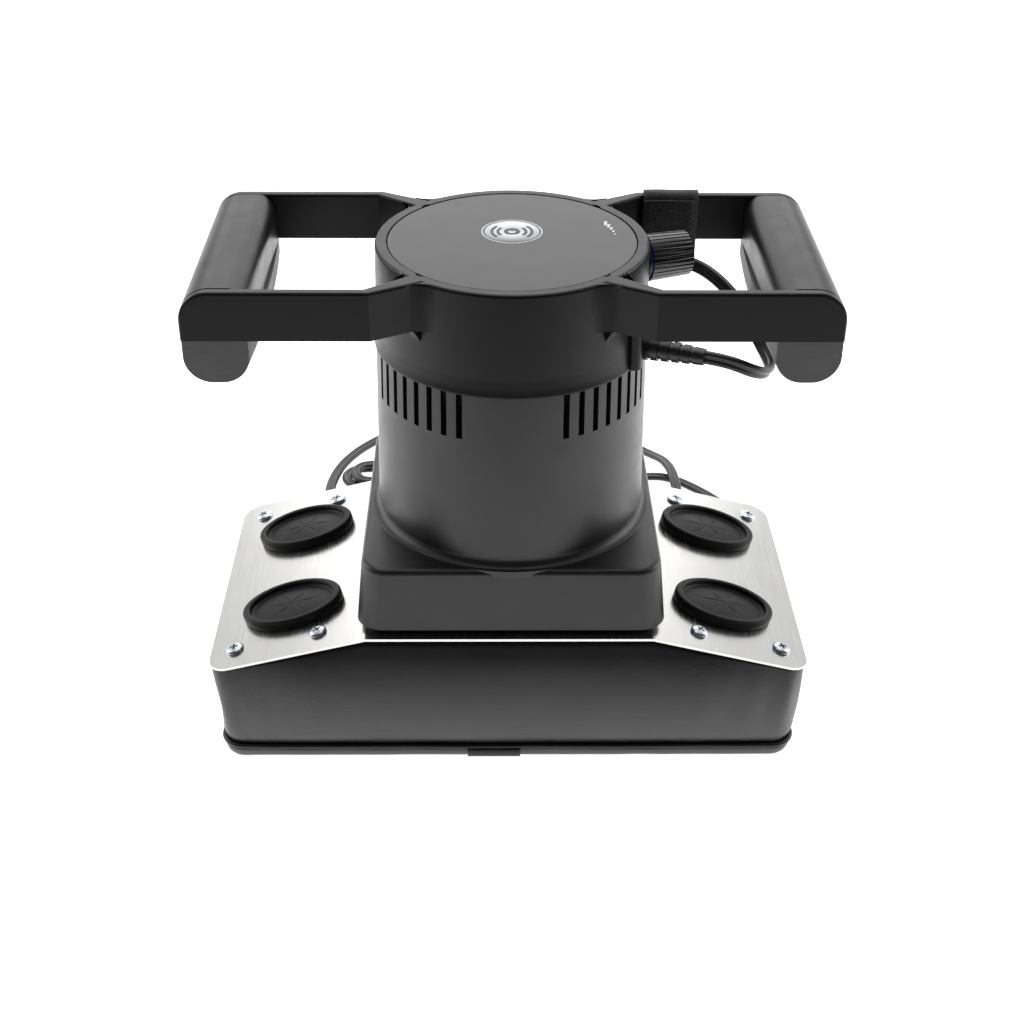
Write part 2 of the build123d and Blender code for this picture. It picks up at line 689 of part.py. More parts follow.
def plate_layer(top_drop, thickness, half_x, half_y, corner):
    """A layer that follows the bent plate, top_drop below its top face."""
    with BuildPart(mode=Mode.PRIVATE) as layer:
        with BuildSketch(Plane.XZ.offset(-orbit_y - half_y)):
            with BuildLine():
                upper = [(-half_x, plate_height(half_x)), (-bend_x, plate_top), (bend_x, plate_top),
                         (half_x, plate_height(half_x))]
                lower = [(x, z - thickness) for x, z in reversed(upper)]
                Polyline(*[(x + orbit_x, z - top_drop) for x, z in upper + lower], close=True)
            make_face()
        extrude(amount=2 * half_y)
        with BuildSketch(Plane.XY):
            with Locations(plate_centre):
                RectangleRounded(2 * half_x, 2 * half_y, corner)
        extrude(amount=plate_top + 10, mode=Mode.INTERSECT)
    return layer.part


with BuildPart() as top_plate:
    add(plate_layer(0, plate_thickness, plate_half_x, plate_half_y, plate_corner))
    for x, y in grommet_spots:
        with BuildSketch(wing_plane(x, y, -10)):
            Ellipse(24, 15.5)
        extrude(amount=20, mode=Mode.SUBTRACT)
    for x, y in screw_spots:
        with BuildSketch(wing_plane(x, y, -10)):
            Circle(2.2)
        extrude(amount=20, mode=Mode.SUBTRACT)
top_plate.part.label = "top_plate"
export_step(top_plate.part, "parts/top_plate.step")

with BuildPart() as grommets:
    for x, y in grommet_spots:
        # raised oval rim, and a thin domed diaphragm a little below its lip
        with BuildSketch(wing_plane(x, y)):
            Ellipse(29, 20)
            Ellipse(24, 15.5, mode=Mode.SUBTRACT)
        extrude(amount=6)
        with BuildSketch(wing_plane(x, y)):
            Ellipse(25.5, 17)
        extrude(amount=3.4)
        with BuildSketch(wing_plane(x, y, -1.4)):
            Ellipse(24, 15.5)
        extrude(amount=1.4)
grommets.part.label = "grommets"
export_step(grommets.part, "parts/grommets.step")

with BuildPart() as plate_screws:
    for x, y in screw_spots:
        with BuildSketch(wing_plane(x, y)):
            Circle(5.2)
        extrude(amount=2.6)
        with BuildSketch(wing_plane(x, y, -9)):
            Circle(2.2)
        extrude(amount=9)
    pan_edges = plate_screws.edges().filter_by(GeomType.CIRCLE).filter_by(lambda e: abs(e.radius - 5.2) < 0.01)
    tops = [e for e in pan_edges if e.center().Z > plate_height(e.center().X - orbit_x) + 1.5]
    fillet(tops, 1.4)
plate_screws.part.label = "plate_screws"
export_step(plate_screws.part, "parts/plate_screws.step")

# ---- pad under the plate ----
layer_tops = plate_thickness + cover_thickness


def pad_form(inset, bottom):
    """The pad's side walls: wider at the plate than at the foot, from a height up past the plate."""
    with BuildPart(mode=Mode.PRIVATE) as form:
        levels = ((bottom, pad_foot_half_x, pad_foot_half_y), (95.0, 167.0, 84.5))
        for level, half_x, half_y in levels:
            with BuildSketch(Plane.XY.offset(level)):
                with Locations(plate_centre):
                    RectangleRounded(2 * (half_x - inset), 2 * (half_y - inset), plate_corner - inset)
        loft()
    return form.part


def under_plate(drop):
    """Everything lower than drop under the plate's top face."""
    return plate_layer(drop, 200.0, 190.0, 100.0, 10.0)


with BuildPart() as backing_board:
    add(plate_layer(layer_tops, board_thickness, plate_half_x - 5, plate_half_y - 3, plate_corner))
    add(pad_form(cover_thickness, panel_height), mode=Mode.INTERSECT)
    for x, y in screw_spots:
        with BuildSketch(wing_plane(x, y, -20)):
            Circle(2.2)
        extrude(amount=20, mode=Mode.SUBTRACT)
backing_board.part.label = "backing_board"
export_step(backing_board.part, "parts/backing_board.step")

panel_round = 7.0
seam_height = panel_height - 1.5
strap_x = (-24.2, 5.5)
strap_mid_x = sum(strap_x) / 2
strap_width = strap_x[1] - strap_x[0]
strap_slack = 0.3


def panel_form(inset):
    """The pad's lower edge: straight down from the seam, then rounded under."""
    with BuildPart(mode=Mode.PRIVATE) as form:
        with BuildSketch(Plane.XY.offset(inset)):
            with Locations(plate_centre):
                RectangleRounded(2 * (pad_foot_half_x - inset), 2 * (pad_foot_half_y - inset), plate_corner - inset)
        extrude(amount=panel_height - inset)
        fillet(form.edges().group_by(Axis.Z)[0], panel_round - inset)
    return form.part


def panel_shell():
    """The lower edge and floor, one cover thickness thick."""
    with BuildPart(mode=Mode.PRIVATE) as shell:
        add(panel_form(0))
        add(panel_form(cover_thickness), mode=Mode.SUBTRACT)
    return shell.part


with BuildPart() as foam_pad:
    add(under_plate(layer_tops + board_thickness))
    add(pad_form(cover_thickness, panel_height), mode=Mode.INTERSECT)
    add(panel_form(cover_thickness))
    with BuildSketch(Plane.XY):
        with Locations((strap_mid_x, orbit_y)):
            Rectangle(strap_width + 2 * cover_thickness, 200)
    extrude(amount=strap_thickness + cover_thickness, mode=Mode.SUBTRACT)
    for x, y in screw_spots:
        with BuildSketch(wing_plane(x, y, -20)):
            Circle(3.0)
        extrude(amount=20, mode=Mode.SUBTRACT)
foam_pad.part.label = "foam_pad"
export_step(foam_pad.part, "parts/foam_pad.step")

def pad_block(inset, drop):
    """The pad above its seam, filled in, with its side walls inset and its top lower than the plate's."""
    with BuildPart(mode=Mode.PRIVATE) as block:
        add(under_plate(drop))
        add(pad_form(inset, panel_height), mode=Mode.INTERSECT)
    return block.part


with BuildPart() as pad_cover:
    add(pad_block(0, plate_thickness))
    add(pad_block(cover_thickness, layer_tops), mode=Mode.SUBTRACT)
    for x, y in screw_spots:
        with BuildSketch(wing_plane(x, y, -20)):
            Circle(2.2)
        extrude(amount=20, mode=Mode.SUBTRACT)
pad_cover.part.label = "pad_cover"
export_step(pad_cover.part, "parts/pad_cover.step")

def strap_outline(half_y, bottom, corner):
    """Profile of a rounded tray as wide as half_y each side, from a height up to the seam."""
    with BuildSketch(Plane.XY, mode=Mode.PRIVATE) as outline:
        with Locations((orbit_y, (seam_height + bottom) / 2)):
            Rectangle(2 * half_y, seam_height - bottom)
        fillet(outline.vertices().group_by(Axis.Y)[0], corner)
    return outline.sketch


with BuildPart() as bottom_strap:
    # webbing under the pad, turned up at its front and back edges
    strap_inner = pad_foot_half_y + strap_slack
    with BuildSketch(Plane.YZ.offset(strap_x[0])):
        add(strap_outline(strap_inner + strap_thickness, 0, panel_round))
        add(strap_outline(strap_inner, strap_thickness, panel_round - strap_thickness), mode=Mode.SUBTRACT)
    extrude(amount=strap_width)
bottom_strap.part.label = "bottom_strap"
export_step(bottom_strap.part, "parts/bottom_strap.step")

with BuildPart() as pad_bottom_panel:
    # a thicker band takes the strap's recess
    with BuildSketch(Plane.XY):
        with Locations((strap_mid_x, orbit_y)):
            Rectangle(strap_width + 2 * cover_thickness, 160)
    extrude(amount=strap_thickness + cover_thickness)
    add(panel_form(0), mode=Mode.INTERSECT)
    add(panel_shell())
    add(bottom_strap.part, mode=Mode.SUBTRACT)
pad_bottom_panel.part.label = "pad_bottom_panel"
export_step(pad_bottom_panel.part, "parts/pad_bottom_panel.step")

with BuildPart() as pad_welt:
    with BuildSketch(Plane.XY.offset(seam_height)):
        with Locations(plate_centre):
            RectangleRounded(2 * (pad_foot_half_x + 1.6), 2 * (pad_foot_half_y + 1.6), plate_corner + 1.6)
            RectangleRounded(2 * pad_foot_half_x, 2 * pad_foot_half_y, plate_corner, mode=Mode.SUBTRACT)
    extrude(amount=1.5)
pad_welt.part.label = "pad_welt"
export_step(pad_welt.part, "parts/pad_welt.step")

# ---- speed control ----
with BuildPart() as speed_knob:
    with BuildSketch(radial_plane(76, knob_azimuth, knob_height)):
        Circle(13)
        with PolarLocations(13.2, 30):
            Circle(0.55, mode=Mode.SUBTRACT)
    extrude(amount=24, taper=2.4)
    chamfer(speed_knob.faces().sort_by(Axis.X)[-1].outer_wire().edges(), 0.5)
    with BuildSketch(radial_plane(76, knob_azimuth, knob_height)):
        Circle(3)
    extrude(amount=18, mode=Mode.SUBTRACT)
speed_knob.part.label = "speed_knob"
export_step(speed_knob.part, "parts/speed_knob.step")

with BuildPart() as knob_collar:
    with BuildSketch(radial_plane(74.4, knob_azimuth, knob_height)):
        Circle(11.8)
        Circle(6.5, mode=Mode.SUBTRACT)
    extrude(amount=1.6)
knob_collar.part.label = "knob_collar"
export_step(knob_collar.part, "parts/knob_collar.step")

with BuildPart() as control_shaft:
    with BuildSketch(radial_plane(58, knob_azimuth, knob_height)):
        Circle(3)
    extrude(amount=36)
control_shaft.part.label = "control_shaft"
export_step(control_shaft.part, "parts/control_shaft.step")

with BuildPart() as speed_control:
    # a boxed potentiometer with a threaded bush through the ring's wall
    with BuildSketch(radial_plane(50, knob_azimuth, knob_height)):
        Rectangle(16, 16)
    extrude(amount=16)
    with BuildSketch(radial_plane(66, knob_azimuth, knob_height)):
        Circle(3.6)
    extrude(amount=8.2)
    with BuildSketch(radial_plane(56, knob_azimuth, knob_height)):
        Circle(3 + running_gap)
    extrude(amount=30, mode=Mode.SUBTRACT)
speed_control.part.label = "speed_control"
export_step(speed_control.part, "parts/speed_control.step")

with BuildPart() as control_nut:
    with BuildSketch(radial_plane(72.1, knob_azimuth, knob_height)):
        RegularPolygon(5.6, 6)
        Circle(3.6, mode=Mode.SUBTRACT)
    extrude(amount=2)
control_nut.part.label = "control_nut"
export_step(control_nut.part, "parts/control_nut.step")

board_plane = Plane(origin=at_azimuth(46, knob_azimuth, knob_height - 9.6), x_dir=at_azimuth(1, knob_azimuth),
                    z_dir=(0, 0, 1))
with BuildPart() as control_board:
    with BuildSketch(board_plane):
        Rectangle(38, 34)
    extrude(amount=1.6)
control_board.part.label = "control_board"
export_step(control_board.part, "parts/control_board.step")

with BuildPart() as board_components:
    with BuildSketch(board_plane.offset(1.6)):
        with Locations((-11, 9), (-11, -2)):
            Circle(4.2)
    extrude(amount=9)
    with BuildSketch(board_plane.offset(1.6)):
        with Locations((-11, -12)):
            Rectangle(10, 5)
    extrude(amount=11)
board_components.part.label = "board_components"
export_step(board_components.part, "parts/board_components.step")

# ---- cord, its strain relief and its plug ----
relief_start = 73.2
relief_end = 107.0
with BuildPart() as strain_relief:
    with BuildSketch(radial_plane(62.5, relief_azimuth, relief_height)):
        Circle(6.2)
    extrude(amount=2)
    with BuildSketch(radial_plane(64, relief_azimuth, relief_height)):
        Circle(4.5)
    extrude(amount=relief_start - 63)
    relief_rings = [(73.2, 6.6), (77.0, 6.6), (77.0, 5.4), (79.0, 5.4), (79.0, 6.3), (82.6, 6.2), (82.6, 5.0),
                    (84.6, 5.0), (84.6, 5.9), (88.2, 5.8), (88.2, 4.7), (90.2, 4.7), (90.2, 5.5), (93.8, 5.4),
                    (93.8, 4.5), (95.8, 4.5), (95.8, 5.1), (99.4, 5.0), (99.4, 4.3), (101.4, 4.3), (101.4, 4.7),
                    (107.0, 4.4)]
    out = at_azimuth(1, relief_azimuth)
    with BuildSketch(Plane(origin=(0, 0, relief_height), x_dir=out, z_dir=at_azimuth(1, relief_azimuth - 90))):
        with BuildLine():
            Polyline((relief_start, 0), *relief_rings, (relief_end, 0), close=True)
        make_face()
    revolve(axis=Axis((0, 0, relief_height), out))
strain_relief.part.label = "strain_relief"
export_step(strain_relief.part, "parts/strain_relief.step")

with BuildPart() as arm_strap:
    # hook-and-loop band round the rear right arm; the cord runs through the loop left below the arm
    with BuildSketch(Plane.YZ.offset(knee_inner[0] + 0.3)):
        with Locations(((arm_inner + handle_half_width) / 2, (243.0 + deck_top + 2) / 2)):
            RectangleRounded(arm_thickness + 4, deck_top + 2 - 243.0, 2.4)
            Rectangle(arm_thickness, deck_top - 2 - 243.0, mode=Mode.SUBTRACT)
    extrude(amount=31)
arm_strap.part.label = "arm_strap"
export_step(arm_strap.part, "parts/arm_strap.step")

# route of the cord from the strain relief to the hank behind the pad
floor_z = cord_diameter / 2 + 0.1
hump_z = 11.0
hank_x = (-114.0, 98.0)
hank_y = (206.0, 242.0)
hank_height = 14.0
cord_route = [
    at_azimuth(relief_end, relief_azimuth, relief_height), at_azimuth(relief_end + 7.5, relief_azimuth, relief_height),
    # a low sweep round in front of the right grip, then back towards the arm with the strap
    (115.2, -44.8, 230.6), (124, -44, 226.4), (131.8, -38, 221.8), (136.3, -28, 219.3), (136.8, -17.5, 219.8),
    (134.2, -6.5, 222.8), (129.5, 3.5, 230), (123, 12.5, 239.5), (113.5, 25.5, 246.5), (103.5, 39.5, 249),
    (91, 49.5, 248.5), (77, 55, 248),
    # under the arm and down behind the housing
    (64, 62.5, 247), (51, 77, 240), (39, 98, 213), (33, 108, 180), (31, 112, 140), (30, 114, 98), (28, 117, 58),
    (18, 121, 27), (-6, 114, 7),
    # a large loop on the floor
    (-40, 103, floor_z), (-78, 111, floor_z), (-108, 140, floor_z), (-125, 177, floor_z), (-128, 214, floor_z),
    (-118, 251, floor_z), (-95, 282, floor_z), (-63, 305, floor_z), (-25, 316, floor_z), (15, 315, floor_z),
    (52, 304, floor_z), (84, 282, floor_z),
    # over its own tail, round to the right, under itself and into the hank
    (107, 254, 5), (119, 231, hump_z), (122.5, 198, hump_z), (119.5, 168, 4.5), (120, 147, floor_z),
    (128, 130, floor_z), (144, 121, floor_z), (161, 128, floor_z), (167, 146, floor_z), (162, 172, floor_z),
    (145, 199, floor_z), (120, 224, floor_z), (hank_x[1], (hank_y[0] + hank_y[1]) / 2, floor_z),
]


def corner_radii(points):
    """For each corner: 0.45 of the shorter run over the tangent of half the turn."""
    radii = []
    for before, here, after in zip(points, points[1:], points[2:]):
        run_in = Vector(*here) - Vector(*before)
        run_out = Vector(*after) - Vector(*here)
        turn = radians(run_in.get_angle(run_out))
        radii.append(0.45 * min(run_in.length, run_out.length) / tan(turn / 2))
    return radii


with BuildPart() as power_cord:
    with BuildLine() as cord_line:
        FilletPolyline(*cord_route, radius=corner_radii(cord_route))
    with BuildSketch(Plane(origin=cord_line.wires()[0] @ 0, z_dir=cord_line.wires()[0] % 0)):
        Circle(cord_diameter / 2)
    sweep(path=cord_line.wires()[0])
power_cord.part.label = "power_cord"
export_step(power_cord.part, "parts/power_cord.step")
print("cord corner radii", [round(r, 1) for r in corner_radii(cord_route)])
cord_length = cord_line.wires()[0].length
print("cord tube length", round(cord_length, 1), "volume ratio",
      round(power_cord.part.volume / (pi * cord_diameter ** 2 / 4 * cord_length), 4))

hank_middle = (sum(hank_x) / 2, sum(hank_y) / 2)
with BuildPart() as cord_hank:
    with BuildSketch(Plane.XY):
        with Locations(hank_middle):
            RectangleRounded(hank_x[1] - hank_x[0], hank_y[1] - hank_y[0], 12)
    extrude(amount=hank_height)
    fillet(cord_hank.edges().group_by(Axis.Z)[-1], 4)
cord_hank.part.label = "cord_hank"
export_step(cord_hank.part, "parts/cord_hank.step")

with BuildPart() as cord_tie:
    with BuildSketch(Plane.YZ.offset(4)):
        with Locations((hank_middle[1], (hank_height + 1.2) / 2)):
            Rectangle(hank_y[1] - hank_y[0] + 2.4, hank_height + 1.2)
        with Locations((hank_middle[1], hank_height / 2)):
            Rectangle(hank_y[1] - hank_y[0], hank_height, mode=Mode.SUBTRACT)
    extrude(amount=12)
cord_tie.part.label = "cord_tie"
export_step(cord_tie.part, "parts/cord_tie.step")

# two-blade plug beside the hank, its cord end against the hank
plug_x = -20.0
plug_z = 6.2
with BuildPart() as plug_body:
    with BuildSketch(Plane.XZ.offset(-hank_y[0])):
        with Locations((plug_x, plug_z)):
            RectangleRounded(9, 7, 3)
    with BuildSketch(Plane.XZ.offset(-hank_y[0] + 14)):
        with Locations((plug_x, plug_z)):
            RectangleRounded(18, 11, 4)
    with BuildSketch(Plane.XZ.offset(-hank_y[0] + 32)):
        with Locations((plug_x, plug_z)):
            RectangleRounded(24, 12, 4)
    loft()
plug_body.part.label = "plug_body"
export_step(plug_body.part, "parts/plug_body.step")

with BuildPart() as plug_blades:
    with BuildSketch(Plane.XZ.offset(-hank_y[0] + 32)):
        with Locations((plug_x - 6.35, plug_z), (plug_x + 6.35, plug_z)):
            Rectangle(1.5, 6.35)
    extrude(amount=17.5)
plug_blades.part.label = "plug_blades"
export_step(plug_blades.part, "parts/plug_blades.step")

# ---- leads inside the housing ----
mains_lead_route = [
    at_azimuth(62.5, relief_azimuth, relief_height), at_azimuth(58, relief_azimuth, relief_height),
    at_azimuth(55, relief_azimuth + 4, 237), at_azimuth(52, -8, 242), at_azimuth(50, 4, 245), at_azimuth(50, 4, 250.9),
]
field_lead_route = [
    (43.2, 28.8, 250.9), (43.2, 28.8, 245), (46.5, 32.5, 238), (47, 33, 217), (44, 30.8, 210.5), (32.9, 23.0, 209.6),
]
for label, lead_route, lead_radius in (("mains_lead", mains_lead_route, 2.0), ("field_lead", field_lead_route, 1.2)):
    with BuildPart() as lead:
        with BuildLine() as lead_line:
            FilletPolyline(*lead_route, radius=corner_radii(lead_route))
        with BuildSketch(Plane(origin=lead_line.wires()[0] @ 0, z_dir=lead_line.wires()[0] % 0)):
            Circle(lead_radius)
        sweep(path=lead_line.wires()[0])
    lead.part.label = label
    export_step(lead.part, f"parts/{label}.step")
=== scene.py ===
import bpy
import bmesh
import json
import math
from mathutils import Vector, Matrix, noise


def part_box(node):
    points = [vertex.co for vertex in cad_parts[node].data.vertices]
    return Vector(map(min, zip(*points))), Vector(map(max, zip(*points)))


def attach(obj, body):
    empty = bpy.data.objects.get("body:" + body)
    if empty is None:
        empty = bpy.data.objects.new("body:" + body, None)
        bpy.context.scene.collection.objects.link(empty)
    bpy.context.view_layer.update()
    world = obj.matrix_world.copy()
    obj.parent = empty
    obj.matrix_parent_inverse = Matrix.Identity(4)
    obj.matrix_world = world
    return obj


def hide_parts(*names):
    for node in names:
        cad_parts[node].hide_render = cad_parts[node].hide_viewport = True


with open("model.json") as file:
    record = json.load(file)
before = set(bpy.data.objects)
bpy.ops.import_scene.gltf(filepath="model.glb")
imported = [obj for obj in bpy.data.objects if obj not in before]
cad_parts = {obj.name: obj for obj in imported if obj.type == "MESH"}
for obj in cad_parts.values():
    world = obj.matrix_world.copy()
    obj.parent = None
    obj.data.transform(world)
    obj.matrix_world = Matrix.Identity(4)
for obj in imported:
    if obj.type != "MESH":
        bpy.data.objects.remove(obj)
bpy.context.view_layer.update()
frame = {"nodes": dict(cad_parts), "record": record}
nodes = frame["nodes"]
scene = bpy.context.scene
MM = 0.001
UP = Vector((0, 0, 1))


# ---------------------------------------------------------------- camera
def make_camera():
    """The photograph's view: a little above the handles, looking down at the front."""
    focus = Vector((0.0011, 0.0, 0.11291))
    distance = 0.91488
    pitch, yaw, roll = math.radians(32.19), math.radians(-0.93), math.radians(0.48)
    back = Vector((math.sin(yaw) * math.cos(pitch), -math.cos(yaw) * math.cos(pitch), math.sin(pitch)))
    right = (-back).cross(Vector((0, 0, 1))).normalized()
    up = right.cross(-back)
    rolled_right = right * math.cos(roll) + up * math.sin(roll)
    rolled_up = up * math.cos(roll) - right * math.sin(roll)
    data = bpy.data.cameras.new("camera")
    data.lens = 55.79
    data.sensor_width = 36
    data.clip_start = 0.01
    data.clip_end = 50
    camera = bpy.data.objects.new("camera", data)
    turn = Matrix((rolled_right, rolled_up, back)).transposed().to_4x4()
    camera.matrix_world = Matrix.Translation(focus + back * distance) @ turn
    scene.collection.objects.link(camera)
    scene.camera = camera


# ---------------------------------------------------------------- material helpers
class Nodes:
    """A short way to write a node tree for one material."""

    def __init__(self, name):
        self.material = bpy.data.materials.new(name)
        self.material.use_nodes = True
        self.tree = self.material.node_tree
        self.shader = self.tree.nodes["Principled BSDF"]
        self.place = self.add("ShaderNodeTexCoord").outputs["Object"]

    def add(self, kind, **settings):
        node = self.tree.nodes.new(kind)
        for key, value in settings.items():
            setattr(node, key, value)
        return node

    def link(self, source, target):
        self.tree.links.new(source, target)

    def set(self, **values):
        for key, value in values.items():
            self.shader.inputs[key.replace("_", " ")].default_value = value

    def scaled(self, scale):
        mapping = self.add("ShaderNodeMapping")
        mapping.inputs["Scale"].default_value = scale
        self.link(self.place, mapping.inputs["Vector"])
        return mapping.outputs["Vector"]

    def noise(self, scale, detail=4.0, roughness=0.55, vector=None):
        node = self.add("ShaderNodeTexNoise")
        node.inputs["Scale"].default_value = scale
        node.inputs["Detail"].default_value = detail
        node.inputs["Roughness"].default_value = roughness
        self.link(vector or self.place, node.inputs["Vector"])
        return node.outputs["Fac"]

    def voronoi(self, scale, feature="DISTANCE_TO_EDGE", vector=None):
        node = self.add("ShaderNodeTexVoronoi", feature=feature)
        node.inputs["Scale"].default_value = scale
        self.link(vector or self.place, node.inputs["Vector"])
        return node.outputs["Distance"]

    def remap(self, value, low, high, to_low, to_high):
        node = self.add("ShaderNodeMapRange")
        self.link(value, node.inputs["Value"])
        for socket, number in zip(("From Min", "From Max", "To Min", "To Max"), (low, high, to_low, to_high)):
            node.inputs[socket].default_value = number
        return node.outputs["Result"]

    def math(self, operation, a, b):
        node = self.add("ShaderNodeMath", operation=operation)
        for socket, value in zip(node.inputs, (a, b)):
            if isinstance(value, (int, float)):
                socket.default_value = value
            else:
                self.link(value, socket)
        return node.outputs["Value"]

    def two_tone(self, value, dark, light):
        node = self.add("ShaderNodeMix", data_type="RGBA")
        self.link(value, node.inputs["Factor"])
        node.inputs["A"].default_value = (*dark, 1)
        node.inputs["B"].default_value = (*light, 1)
        self.link(node.outputs["Result"], self.shader.inputs["Base Color"])

    def bump(self, height, distance, strength=1.0, below=None):
        node = self.add("ShaderNodeBump")
        node.inputs["Distance"].default_value = distance
        node.inputs["Strength"].default_value = strength
        self.link(height, node.inputs["Height"])
        if below is not None:
            self.link(below, node.inputs["Normal"])
        self.link(node.outputs["Normal"], self.shader.inputs["Normal"])
        return node.outputs["Normal"]


def moulded(name, dark, light, rough_low, rough_high, grain=1400, depth=0.00006, **extra):
    """Injection-moulded plastic or rubber: fine grain, faint large-scale variation in tone and gloss."""
    m = Nodes(name)
    m.two_tone(m.noise(22, 5), dark, light)
    m.link(m.remap(m.noise(60, 6, 0.7), 0.3, 0.7, rough_low, rough_high), m.shader.inputs["Roughness"])
    fine = m.bump(m.noise(grain, 2), depth, 0.5)
    m.bump(m.noise(18, 2), 0.0006, 0.12, below=fine)
    m.set(**extra)
    return m.material


def metal(name, dark, light, rough_low, rough_high, brush=None, depth=0.00002):
    """Metal with faint drawn lines or blotches."""
    m = Nodes(name)
    m.two_tone(m.noise(35, 5), dark, light)
    lines = m.noise(900, 3, 0.6, m.scaled(brush or (1, 1, 1)))
    m.link(m.remap(lines, 0.3, 0.7, rough_low, rough_high), m.shader.inputs["Roughness"])
    m.bump(lines, depth, 0.3)
    m.set(Metallic=1.0)
    return m.material


def vinyl(name, shine):
    """Black upholstery vinyl: fine pebble grain, soft creases, and a gloss that fades towards the plate."""
    m = Nodes(name)
    m.two_tone(m.noise(14, 6), (0.0045, 0.0045, 0.005), (0.008, 0.008, 0.0085))
    m.link(m.remap(m.noise(45, 5, 0.65), 0.3, 0.7, 0.30, 0.42), m.shader.inputs["Roughness"])
    grain = m.remap(m.voronoi(620), 0.0, 0.35, 0.0, 1.0)
    pebble = m.bump(grain, 0.00010, 0.4)
    warp = m.add("ShaderNodeVectorMath", operation="ADD")
    m.link(m.scaled((1, 1, 1.6)), warp.inputs[0])
    sway = m.add("ShaderNodeTexNoise")
    sway.inputs["Scale"].default_value = 60
    m.link(m.place, sway.inputs["Vector"])
    soften = m.add("ShaderNodeVectorMath", operation="SCALE")
    soften.inputs["Scale"].default_value = 0.006
    m.link(sway.outputs["Color"], soften.inputs[0])
    m.link(soften.outputs["Vector"], warp.inputs[1])
    creases = m.remap(m.voronoi(210, vector=warp.outputs["Vector"]), 0.0, 0.07, 0.0, 1.0)
    shown = m.remap(m.noise(34, 3), 0.46, 0.66, 0.0, 1.0)
    worn = m.math("MULTIPLY", m.math("SUBTRACT", creases, 1.0), shown)
    folded = m.bump(worn, 0.00018, 0.42, below=pebble)
    m.bump(m.noise(26, 4, 0.6), 0.0016, 0.35, below=folded)
    height = m.add("ShaderNodeSeparateXYZ")
    m.link(m.place, height.inputs["Vector"])
    gloss = m.remap(height.outputs["Z"], 0.012, 0.075, shine, 0.12 * shine)
    m.link(gloss, m.shader.inputs["Specular IOR Level"])
    return m.material


def webbing(name, across, along, pitch=0.0016, dark=(0.010, 0.010, 0.010), light=(0.034, 0.034, 0.035)):
    """Woven band: across and along are axis letters, and the threads go over and under in turn."""
    m = Nodes(name)
    split = m.add("ShaderNodeSeparateXYZ")
    m.link(m.place, split.inputs["Vector"])
    turns = 2 * math.pi / pitch
    warp = m.math("SINE", m.math("MULTIPLY", split.outputs[across], turns), 0)
    weft = m.math("SINE", m.math("MULTIPLY", split.outputs[along], turns * 0.7), 0)
    weave = m.math("MULTIPLY", warp, weft)
    m.two_tone(m.remap(m.math("ADD", weave, m.noise(900, 2)), -0.6, 1.6, 0.0, 1.0), dark, light)
    m.bump(m.math("ADD", weave, m.noise(1600, 2)), 0.00022, 0.8)
    m.set(Roughness=0.86, Sheen_Weight=0.25, Sheen_Roughness=0.5)
    return m.material


def pile(name):
    """Brushed loop side of a hook-and-loop band: short dull fuzz."""
    m = Nodes(name)
    m.two_tone(m.noise(700, 5, 0.7), (0.006, 0.006, 0.006), (0.03, 0.03, 0.031))
    m.bump(m.noise(1500, 6, 0.8), 0.0005, 0.9)
    m.set(Roughness=0.95, Sheen_Weight=0.3, Sheen_Roughness=0.6)
    return m.material


def laminated(name):
    """Thin stacked sheets seen from the side."""
    m = Nodes(name)
    split = m.add("ShaderNodeSeparateXYZ")
    m.link(m.place, split.inputs["Vector"])
    layers = m.math("SINE", m.math("MULTIPLY", split.outputs["Z"], 2 * math.pi / 0.0007), 0)
    shade = m.remap(m.math("ADD", layers, m.noise(80, 4)), -1, 1.8, 0, 1)
    m.two_tone(shade, (0.12, 0.12, 0.13), (0.3, 0.3, 0.31))
    m.bump(layers, 0.0001, 0.5)
    m.set(Metallic=1.0, Roughness=0.5)
    return m.material


def wound(name):
    """Enamelled copper winding."""
    m = Nodes(name)
    strands = m.noise(800, 2, 0.5, m.scaled((1, 1, 6)))
    m.two_tone(strands, (0.28, 0.09, 0.03), (0.62, 0.26, 0.10))
    m.bump(strands, 0.0004, 0.7)
    m.set(Metallic=0.8, Roughness=0.35)
    return m.material


def grained(name, dark, light):
    """Plywood or foam: long soft grain."""
    m = Nodes(name)
    grain = m.noise(60, 6, 0.6, m.scaled((0.3, 3, 6)))
    m.two_tone(grain, dark, light)
    m.bump(grain, 0.0003, 0.5)
    m.set(Roughness=0.8)
    return m.material


